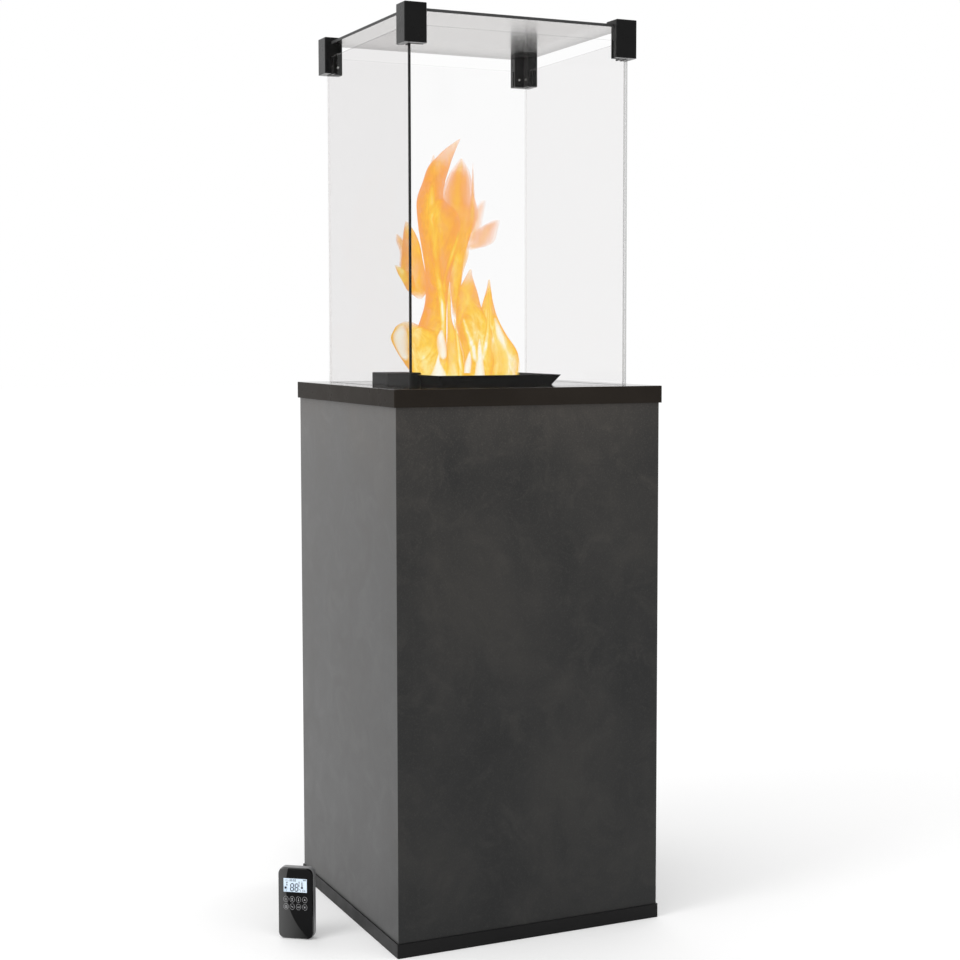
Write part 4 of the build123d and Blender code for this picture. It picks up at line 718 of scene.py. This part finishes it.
def dress_remote():
    """The marks on the display and the eight printed keys."""
    ink = coated(*DISPLAY_INK)
    print_grey = coated(*KEY_PRINT)
    crisp_piece("remote_display_marks", display_marks(), ink, "remote")
    keys = Build()
    for up, signs in zip(KEY_ROWS, KEY_SIGNS):
        for column, sign in enumerate(signs):
            across = (column - 1.5) * KEY_PITCH
            stroke(keys, oval(across, up, *KEY_HALF, count=40), KEY_LINE, True)
            sign(keys, across, up)
    crisp_piece("remote_key_print", keys, print_grey, "remote")


# ---- small fittings
HEAD_PROFILE = ((1.0, 0.0), (1.0, 0.3), (0.8, 0.55), (0.48, 0.62))  # radius and height, in head radii
SOCKET_PROFILE = ((0.44, 0.62), (0.42, 0.25))
UNION_PROFILE = ((0, 0.86), (0.12, 1.0), (0.88, 1.0), (1.0, 0.86))  # in lengths and radii
# distance along the axis and radius, in millimetres
CRIMP_PROFILE = (
    (0, 7.2), (1, 8.2), (3, 8.2), (3.6, 7.7), (5, 7.7), (5.6, 8.2), (8, 8.2), (8.6, 7.7), (10, 7.7),
    (10.6, 8.2), (12.5, 8.2), (13, 7.2),
)
GROMMET_PROFILE = ((0, 3.6), (1.2, 3.6), (1.8, 3.0), (4.5, 2.3))
BUTTON_PROFILE = (
    (0, 5.2), (1.2, 5.2), (1.8, 4.6), (1.8, 4.0), (0.9, 3.9), (0.9, 3.4), (3.0, 3.3), (3.5, 2.8),
)
LAMP_PROFILE = ((0, 2.6), (0.8, 2.6), (1.0, 2.2), (1.7, 1.9), (2.3, 1.3), (2.6, 0.6))
PIP_PROFILE = ((0, 2.4), (0.9, 2.4), (1.1, 2.1))

LEAF_HEIGHT = 60 * MM
LEAF_THICK = 2 * MM
LEAF_SCREWS = (9 * MM, 30 * MM, 51 * MM)  # above the foot of a leaf
LEAF_SCREW_REACH = 13.5 * MM  # from the hinge's pin
LARGE_SCREW = 2.7 * MM
SMALL_SCREW = 2.3 * MM
LID_SCREW_INSET = 7 * MM
VALVE_SCREW_INSET = 6 * MM
VALVE_DEPTH = 60 * MM
VALVE_TOP_OVER_KNOB = 26 * MM
OUTLET_UNDER_TOP = 20 * MM
REGULATOR_OUTLET_HEIGHT = 0.532
HOSE_INLET = (0.110, -0.060)
MAIN_PIPE_Y = -0.060
# where the pilot's two unions stand on the valve, with their radius and length
PILOT_UNIONS = ((0.092, -0.075, 5.5 * MM, 8 * MM), (0.100, -0.042, 4.2 * MM, 6 * MM))
MAIN_UNION = (7.5 * MM, 10 * MM)
LEAD_HOLES = ((-0.050, 0.806), (-0.070, 0.800))
KNOBS = (("manual_knob", "pilot_knob_turn", 3), ("flow_knob", "flame_knob_turn", 7))  # with their marks
POINTER = (2 * MM, 8 * MM)  # where it starts and ends, above the knob's axis
MARK_HALF = 0.6 * MM
MARK_THICK = 0.15 * MM
MARK_GAP = 2.2 * MM
DIAL_BEHIND_KNOB = 2 * MM
# each bead's height, its radius unless it is the bottle's own, its start and sweep in degrees, its thickness
BEADS = (
    (0.261, None, 0, 360, 1.7 * MM),
    (0.0425, 121 * MM, 0, 360, 1.8 * MM),
    (0.4945, 95.6 * MM, 150, 240, 1.6 * MM),
)
BEAD_STEPS = 200
BEAD_RIPPLE = 0.14
BUTTON_ACROSS = 36 * MM
LAMP_ACROSS = 18 * MM
CELL_PITCH = 12 * MM
SPRING_TURNS = 3.5
SPRING_STEPS = 84
SPRING_LENGTH = 3.6 * MM
SPRING_GAP = 0.4 * MM
SPRING_WIDE = 3.6 * MM
SPRING_NARROW = 2.2 * MM
SPRING_WIRE = 0.35 * MM
PLATE_HALF = 4 * MM
PLATE_LIFT = 1.1 * MM
PLATE_THICK = 0.4 * MM


def corners_of(node):
    """The lowest and highest corner of a node's box."""
    low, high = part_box(node)
    return Vector(low), Vector(high)


def ring_about(centre, out, radius, sides=28, hexagon=False):
    """A circle or hexagon about an axis, anticlockwise when seen from outside."""
    out = Vector(out).normalized()
    side = out.orthogonal().normalized()
    other = out.cross(side)
    ring = []
    for turn in range(sides):
        angle = 2 * math.pi * turn / sides
        flat = math.cos(math.pi / 6) / math.cos(angle % (math.pi / 3) - math.pi / 6) if hexagon else 1.0
        ring.append(Vector(centre) + (side * math.cos(angle) + other * math.sin(angle)) * radius * flat)
    return ring


def turned(build, place, out, profile, hexagon=False):
    """A turned solid on an axis, from (distance, radius) pairs in metres."""
    place, out = Vector(place), Vector(out).normalized()
    build.rings([ring_about(place + out * along, out, radius, 36, hexagon) for along, radius in profile])


def turned_mm(build, place, out, profile):
    """The same, from millimetres."""
    turned(build, place, out, [(along * MM, radius * MM) for along, radius in profile])


def screw_head(build, place, out, radius):
    """A round head with a hexagon socket, standing on a surface."""
    out = Vector(out)
    rings = []
    for profile, hexagon in ((HEAD_PROFILE, False), (SOCKET_PROFILE, True)):
        for wide, high in profile:
            rings.append(ring_about(Vector(place) + out * high * radius, out, wide * radius, 24, hexagon))
    build.rings(rings)


def make_screws(steel):
    """Screws of the hinge leaves, the receiver's lid and the valve's top."""
    low, high = corners_of("hinge_leaves")
    pin = Vector(JOINTS["door_hinge"]["pos_m"])
    bottoms = (low.z, (low.z + high.z - LEAF_HEIGHT) / 2, high.z - LEAF_HEIGHT)
    for body, side in (("root", -1), ("door", 1)):
        build = Build()
        across = pin.x + side * LEAF_SCREW_REACH
        for bottom in bottoms:
            for up in LEAF_SCREWS:
                screw_head(build, (across, low.y + LEAF_THICK, bottom + up), (0, 1, 0), LARGE_SCREW)
        crisp_piece(f"hinge_screws_{body}", build, steel, body)
    low, high = corners_of("receiver_cover")
    build = Build()
    for x in (low.x + LID_SCREW_INSET, high.x - LID_SCREW_INSET):
        for y in (low.y + LID_SCREW_INSET, high.y - LID_SCREW_INSET):
            screw_head(build, (x, y, high.z), UP, SMALL_SCREW)
    crisp_piece("receiver_lid_screws", build, steel, "receiver_lid")
    low, high = corners_of("valve_body")
    build = Build()
    left, right = low.x + VALVE_SCREW_INSET, high.x - VALVE_SCREW_INSET
    front, back = low.y + VALVE_SCREW_INSET, low.y + VALVE_DEPTH - VALVE_SCREW_INSET
    for x, y in ((left, front), (left, back), (right, back)):
        screw_head(build, (x, y, high.z), UP, LARGE_SCREW)
    crisp_piece("valve_cover_screws", build, steel, "root")


def make_knob_marks(white):
    """A pointer on each knob's grip and the dial's marks round it."""
    marks = Build()
    rise = Vector((0, MARK_THICK, 0))
    across = Vector((MARK_HALF, 0, 0))
    for node, joint_name, count in KNOBS:
        joint = JOINTS[joint_name]
        low, high = corners_of(node)
        centre = Vector(joint["pos_m"])
        pointer = Build()
        tip = Vector((centre.x, high.y, centre.z))
        near, far = (tip + UP * reach for reach in POINTER)
        pointer.prism([near - across, far - across, far + across, near + across], rise)
        crisp_piece(f"{node}_pointer", pointer, white, joint["child"])
        face = Vector((centre.x, centre.y - DIAL_BEHIND_KNOB, centre.z))
        reach = (high.x - low.x) / 2 + MARK_GAP
        limit = math.radians(joint["range_deg"][1])
        for step in range(count):
            turn = Matrix.Rotation(limit * step / (count - 1), 3, Vector(joint["axis"]))
            spoke = turn @ UP
            over = turn @ across * 0.7
            start = face + spoke * reach
            end = start + spoke * (1.2 + 0.2 * step) * MM  # a longer mark for a larger flame
            marks.prism([start - over, end - over, end + over, start + over], rise)
    crisp_piece("valve_dial_marks", marks, white, "root")


def make_gas_fittings(steel, brass, rubber):
    """Crimped ends of the hose, unions of the pipes and grommets of the leads."""
    ferrules = Build()
    low, high = corners_of("regulator")
    turned_mm(ferrules, (high.x, (low.y + high.y) / 2, REGULATOR_OUTLET_HEIGHT), (1, 0, 0), CRIMP_PROFILE)
    hose_top = corners_of("gas_hose")[1].z
    turned_mm(ferrules, (*HOSE_INLET, hose_top), -UP, CRIMP_PROFILE)
    crisp_piece("hose_ferrules", ferrules, steel, "root")
    unions = Build()
    top = JOINTS["pilot_knob_turn"]["pos_m"][2] + VALVE_TOP_OVER_KNOB
    outlet = (corners_of("valve_body")[0].x, MAIN_PIPE_Y, top - OUTLET_UNDER_TOP)
    injector = (0, 0, corners_of("injector")[0].z)
    places = [(outlet, (-1, 0, 0), *MAIN_UNION), (injector, -UP, *MAIN_UNION)]
    places += [((x, y, top), UP, radius, length) for x, y, radius, length in PILOT_UNIONS]
    for place, out, radius, length in places:
        turned(unions, place, out, [(along * length, wide * radius) for along, wide in UNION_PROFILE], True)
    crisp_piece("pipe_unions", unions, brass, "root")
    grommets = Build()
    wall = corners_of("receiver_box")[1].x
    for y, z in LEAD_HOLES:
        turned_mm(grommets, (wall, y, z), (1, 0, 0), GROMMET_PROFILE)
    crisp_piece("lead_grommets", grommets, rubber, "root")


def weld_bead(build, centre, radius, start, sweep, thick):
    """A rippled bead round a vertical axis, from a start angle in degrees."""
    whole = sweep >= 360
    path, radii = [], []
    for step in range(BEAD_STEPS if whole else BEAD_STEPS + 1):
        angle = math.radians(start + sweep * step / BEAD_STEPS)
        path.append(centre + Vector((math.cos(angle), math.sin(angle), 0)) * radius)
        radii.append(thick * (1 + BEAD_RIPPLE * math.sin(step * math.pi / 2)))
    build.tube(path, radii, 8, whole)


def make_bottle_welds(paint):
    """The seams of the bottle: round its waist, its foot ring and its collar."""
    low, high = corners_of("gas_bottle")
    axis = Vector(((low.x + high.x) / 2, (low.y + high.y) / 2, 0))
    build = Build()
    for height, radius, start, sweep, thick in BEADS:
        weld_bead(build, axis + UP * height, radius or (high.x - low.x) / 2, start, sweep, thick)
    crisp_piece("bottle_weld_beads", build, paint, "root")


def make_receiver_panel(plastic, lamp):
    """The learning button and the lamp on the receiver's wall towards the door."""
    low, high = corners_of("receiver_box")
    middle = (low.z + high.z) / 2
    button = Build()
    turned_mm(button, (low.x + BUTTON_ACROSS, high.y, middle), (0, 1, 0), BUTTON_PROFILE)
    crisp_piece("receiver_button", button, plastic, "root")
    lens = Build()
    turned_mm(lens, (low.x + LAMP_ACROSS, high.y, middle), (0, 1, 0), LAMP_PROFILE)
    crisp_piece("receiver_lamp", lens, lamp, "root")


def make_battery_contacts(steel):
    """A coiled spring under each cell of the remote, and a pip and plate above it."""
    low, high = corners_of("remote_batteries")
    centre = (low + high) / 2
    springs = Build()
    for cell in (-1, 0, 1):
        place = Vector((centre.x, centre.y, 0)) + REMOTE_RIGHT * cell * CELL_PITCH
        path = []
        for step in range(SPRING_STEPS + 1):
            part = step / SPRING_STEPS
            angle = 2 * math.pi * SPRING_TURNS * part
            reach = SPRING_WIDE + (SPRING_NARROW - SPRING_WIDE) * part
            spoke = REMOTE_RIGHT * math.cos(angle) + REMOTE_OUT * math.sin(angle)
            path.append(place + spoke * reach + UP * (low.z - SPRING_LENGTH * (1 - part) - SPRING_GAP))
        springs.tube(path, SPRING_WIRE, 8)
        turned_mm(springs, place + UP * high.z, UP, PIP_PROFILE)
        foot = place + UP * (high.z + PLATE_LIFT)
        plate = [foot + (REMOTE_RIGHT * x + REMOTE_OUT * y) * PLATE_HALF for x, y in reversed(QUARTERS)]
        springs.prism(plate, UP * PLATE_THICK)
    crisp_piece("remote_battery_contacts", springs, steel, "remote")


def make_fittings(finishes):
    make_screws(finishes["stainless"])
    make_knob_marks(coated(*MARKS_WHITE))
    make_gas_fittings(finishes["stainless"], finishes["brass"], finishes["rubber_black"])
    make_bottle_welds(finishes["bottle_paint"])
    make_receiver_panel(finishes["black_plastic"], coated(*LAMP_GREEN))
    make_battery_contacts(finishes["stainless"])


# ---- flame
FLAME_SIDE = Vector((math.cos(CAMERA_YAW), -math.sin(CAMERA_YAW), 0))
FLAME_DEEP = Vector((math.sin(CAMERA_YAW), math.cos(CAMERA_YAW), 0))
FLAME_FOOT = 966  # millimetres above the ground, inside the burner tray
TONGUE_STEP = 5  # millimetres from ring to ring
FEWEST_STEPS = 16
RISING_FROM = 20  # a tongue that starts above this fades in as well
THINNEST_HALF = 0.4
SHELL_FADE = 0.8
RIPPLE = 0.05
HEART_HEAT = 0.4  # how much hotter the middle of a tongue is than its edges
# each tongue: how far back it stands, its thickness for its width, how solid it is, how hot it is, and
# its stations of height above the tray's inside, left edge and right edge, all in millimetres
TONGUES = {
    "plume": (0, 0.55, 0.93, 0.07, (
        (30, -118, -46), (70, -110, -48), (105, -97, -48), (135, -88, -47), (170, -86, -44),
        (205, -88, -37), (250, -95, -24), (300, -101, -26), (328, -101, -52), (357, -91, -50),
        (386, -81, -42), (401, -68, -37), (418, -50, -30), (435, -25, -22))),
    "plume_spur": (8, 0.5, 0.7, 0.0, (
        (255, -96, -60), (310, -94, -62), (350, -88, -64), (385, -79, -66), (408, -73, -70))),
    "upper_lobe": (12, 0.5, 0.9, 0.05, (
        (205, -40, -28), (245, -50, -20), (275, -52, -3), (304, -54, 4), (334, -53, -3), (363, -44, -6),
        (384, -35, -11), (402, -23, -19))),
    "upper_side": (2, 0.5, 0.75, 0.1, (
        (120, -36, -28), (170, -42, -22), (220, -44, -16), (262, -40, -4), (290, -30, 4))),
    "upper_point": (-6, 0.5, 0.5, 0.0, (
        (262, -12, 2), (300, -6, 6), (330, -3, 4), (365, -1, 2), (392, 0, 1))),
    "wisp": (20, 0.45, 0.6, 0.0, (
        (236, -14, 4), (246, -10, 28), (256, -4, 37), (270, 6, 41), (290, 37, 49))),
    "wisp_shoulder": (22, 0.45, 0.4, 0.0, ((248, -16, 6), (280, -6, 14), (305, 4, 19), (326, 15, 24))),
    "strand": (4, 0.6, 0.8, 0.1, (
        (110, -38, -26), (150, -36, -24), (190, -32, -20), (225, -30, -10), (250, -26, -8))),
    "inner_left": (-10, 0.6, 0.8, 0.16, (
        (4, -52, -14), (50, -48, -20), (85, -46, -30), (110, -46, -38), (150, -46, -40), (178, -46, -43))),
    "inner_right": (-4, 0.6, 0.8, 0.1, (
        (0, -18, 40), (40, -16, 42), (75, -24, 38), (100, -30, 30), (130, -30, 16), (160, -26, 8),
        (185, -14, 0), (200, -6, -2))),
    "right_cluster": (10, 0.6, 0.88, 0.26, (
        (0, 0, 80), (36, 0, 84), (55, 0, 79), (80, 4, 62), (110, 10, 46), (140, 18, 37), (165, 25, 33),
        (182, 28, 31))),
    "bulb": (-14, 0.6, 0.9, 0.2, (
        (0, -98, -46), (14, -114, -44), (34, -128, -44), (58, -142, -46), (76, -149, -52), (88, -144, -66),
        (98, -138, -96), (105, -124, -112))),
    "left_tongue": (-4, 0.55, 0.84, 0.16, (
        (146, -108, -84), (170, -122, -84), (195, -131, -87), (216, -130, -91), (240, -128, -95),
        (265, -126, -104), (286, -122, -118))),
    "left_tip": (2, 0.5, 0.7, 0.0, (
        (200, -134, -116), (230, -132, -118), (250, -138, -124), (264, -140, -136))),
    "left_hook": (-12, 0.5, 0.85, 0.3, (
        (158, -118, -104), (178, -128, -106), (192, -136, -112), (207, -142, -137))),
    "back_low": (62, 0.8, 0.6, 0.12, (
        (0, -40, 40), (40, -38, 36), (80, -30, 24), (120, -18, 12), (150, -6, 2))),
    "streak": (-17, 0.7, 0.75, 0.3, (
        (66, -56, -47), (110, -58, -48), (142, -62, -50), (200, -71, -57), (270, -80, -62), (320, -80, -66),
        (350, -76, -70))),
    "streak_back": (20, 0.7, 0.75, 0.28, (
        (90, -66, -54), (150, -72, -58), (220, -80, -62), (300, -78, -68))),
    "fork": (-16, 0.7, 0.7, 0.28, (
        (150, -60, -50), (185, -54, -46), (215, -46, -38), (245, -34, -27), (268, -26, -22))),
    "hot_left": (-38, 0.5, 0.85, 1.0, (
        (34, -124, -117), (58, -134, -119), (80, -138, -121), (98, -131, -124))),
    "hot_middle": (-34, 0.6, 0.8, 0.95, ((36, -57, -49), (60, -62, -50), (78, -61, -53), (90, -57, -54))),
    "hot_foot": (-46, 0.6, 0.8, 0.95, ((2, -74, -50), (16, -68, -54), (34, -64, -60), (48, -61, -59))),
    "hot_gap": (-32, 0.6, 0.75, 1.0, ((12, -14, -6), (28, -12, -4), (46, -7, -3), (54, -4, -2))),
    "hot_stem": (-30, 0.6, 0.85, 0.9, ((0, 6, 20), (24, 8, 18), (48, 10, 16), (74, 12, 14))),
    "fork_left": (-30, 0.6, 0.75, 0.28, ((30, 0, 12), (56, -6, 8), (84, -14, -2), (112, -20, -14))),
    "fork_right": (-28, 0.6, 0.75, 0.28, (
        (34, 14, 24), (60, 18, 28), (92, 24, 32), (130, 27, 31), (168, 29, 30))),
    "stalk": (-30, 0.6, 0.75, 0.22, ((0, -26, -16), (40, -28, -20), (76, -30, -25), (110, -33, -31))),
    "hot_right": (-18, 0.5, 0.7, 0.5, (
        (4, 52, 78), (34, 54, 79), (58, 50, 70), (84, 44, 54), (112, 38, 43))),
}
# nested shells blur a tongue's edge; each is a share of its full width. The hot spots have melted edges
SHARP = (1.0,)
FEATHERED = (1.2, 0.95, 0.7, 0.42)
FEATHERED_NAMES = ("plume_spur", "upper_lobe", "upper_point", "wisp", "wisp_shoulder", "left_tip", "strand")
MELTED = (1.5, 1.15, 0.8, 0.5)


def curve_value(stations, column, height):
    """A smooth value at a height: a cubic through the stations either side of it."""
    heights = [station[0] for station in stations]
    last = len(stations) - 1
    index = min(max(sum(1 for limit in heights if limit <= height) - 1, 0), last - 1)
    span = heights[index + 1] - heights[index]
    part = (height - heights[index]) / span
    before, after = stations[max(index - 1, 0)], stations[min(index + 2, last)]
    here, there = stations[index], stations[index + 1]
    slope_here = (there[column] - before[column]) / (there[0] - before[0]) * span
    slope_there = (after[column] - here[column]) / (after[0] - here[0]) * span
    square, cube = part * part, part * part * part
    return (
        (2 * cube - 3 * square + 1) * here[column]
        + (cube - 2 * square + part) * slope_here
        + (3 * square - 2 * cube) * there[column]
        + (cube - square) * slope_there
    )


def tongue(name, depth, thickness, solid, hot, stations, material):
    """A closed flame tongue: an oval skinned up through its stations, with a drawn-out tip."""
    bottom, top = stations[0][0], stations[-1][0]
    rising = bottom > RISING_FROM
    count = max(FEWEST_STEPS, int((top - bottom) / TONGUE_STEP))
    shells = FEATHERED if name in FEATHERED_NAMES else MELTED if name.startswith("hot") else SHARP
    sides = 32 if shells is SHARP else 20
    build = Build()
    fades, heats = [], []
    seed = sum(map(ord, name))
    for shell in shells:
        rings = []
        shell_fades, shell_heats = [], []
        for step in range(count + 1):
            part = step / count
            height = bottom + (top - bottom) * part
            left = curve_value(stations, 1, height)
            right = curve_value(stations, 2, height)
            half = max((right - left) / 2, THINNEST_HALF) * shell
            if rising:
                half *= min(1, 0.3 + part * 9)
            sway = 7 * math.sin(height * 0.031 + 1.7) + 2 * math.sin(height * 0.083 + seed)
            fade = solid * min(1, 0.25 + (1 - part) * 4.5) * (min(1, part * 7 + 0.15) if rising else 1)
            if len(shells) > 1:
                fade = 1 - (1 - fade) ** (SHELL_FADE / len(shells))
            ring = []
            for turn in range(sides):
                angle = 2 * math.pi * turn / sides
                ripple = 1 + RIPPLE * math.sin(3 * angle + height * 0.06 + seed)
                across = (left + right) / 2 + half * math.cos(angle)
                back = depth + sway + half * thickness * ripple * math.sin(angle)
                up = Vector((0, 0, (FLAME_FOOT + height) * MM))
                ring.append(FLAME_SIDE * across * MM + FLAME_DEEP * back * MM + up)
                shell_fades.append(fade)
                shell_heats.append(hot + HEART_HEAT * (1 - abs(math.cos(angle))) ** 0.6)
            rings.append(ring)
        build.rings(rings)
        fades += shell_fades + [shell_fades[0], shell_fades[-1]]
        heats += shell_heats + [shell_heats[0], shell_heats[-1]]
    made = piece("flame_" + name, build.vertices, build.faces, material, "root")
    for label, values in (("fade", fades), ("warmth", heats)):
        attribute = made.data.attributes.new(label, "FLOAT", "POINT")
        attribute.data.foreach_set("value", values)


def flame_material():
    """Glowing gas: orange towards its edges and tips, yellow inside, white-hot at the foot."""
    kit = Nodes("flame_glow")
    fade = kit.add("Attribute", attribute_name="fade").outputs["Fac"]
    heat = kit.add("Attribute", attribute_name="warmth").outputs["Fac"]
    lick = kit.noise(17, 4, 0.55, 0.7, stretch=(1, 1, 0.28))
    curl = kit.noise(34, 5, 0.6, 1.4, stretch=(1, 1, 0.4))
    low = kit.spread(kit.height(), 0.2, -0.12, (0.97, 1.3))
    heat = kit.math("ADD", heat, low)
    heat = kit.math("ADD", heat, kit.spread(lick, -0.2, 0.24, (0.36, 0.64)))
    heat = kit.math("ADD", heat, kit.spread(curl, -0.08, 0.14, (0.4, 0.62)))
    colour = kit.ramp(heat, [
        (0.0, (0.93, 0.41, 0.18)), (0.22, (0.955, 0.40, 0.09)), (0.45, (0.98, 0.49, 0.065)),
        (0.7, (1.0, 0.65, 0.09)), (0.9, (1.0, 0.84, 0.33)), (1.0, (1.0, 1.0, 0.90)),
    ])
    wisps = kit.spread(curl, 0.72, 1.08, (0.38, 0.6))
    alpha = kit.math("MINIMUM", kit.math("MULTIPLY", fade, wisps), 0.97)
    glow = kit.add("Emission", {"Color": colour, "Strength": 1.0})
    clear = kit.add("BsdfTransparent", {"Color": WHITE})
    return kit.finish(kit.shade(alpha, clear, glow))


def make_flame():
    glow = flame_material()
    for name, settings in TONGUES.items():
        tongue(name, *settings, glow)


make_camera()
make_studio()
FINISHES = make_finishes()
dress_frame(FINISHES)
dress_remote()
make_fittings(FINISHES)
make_flame()
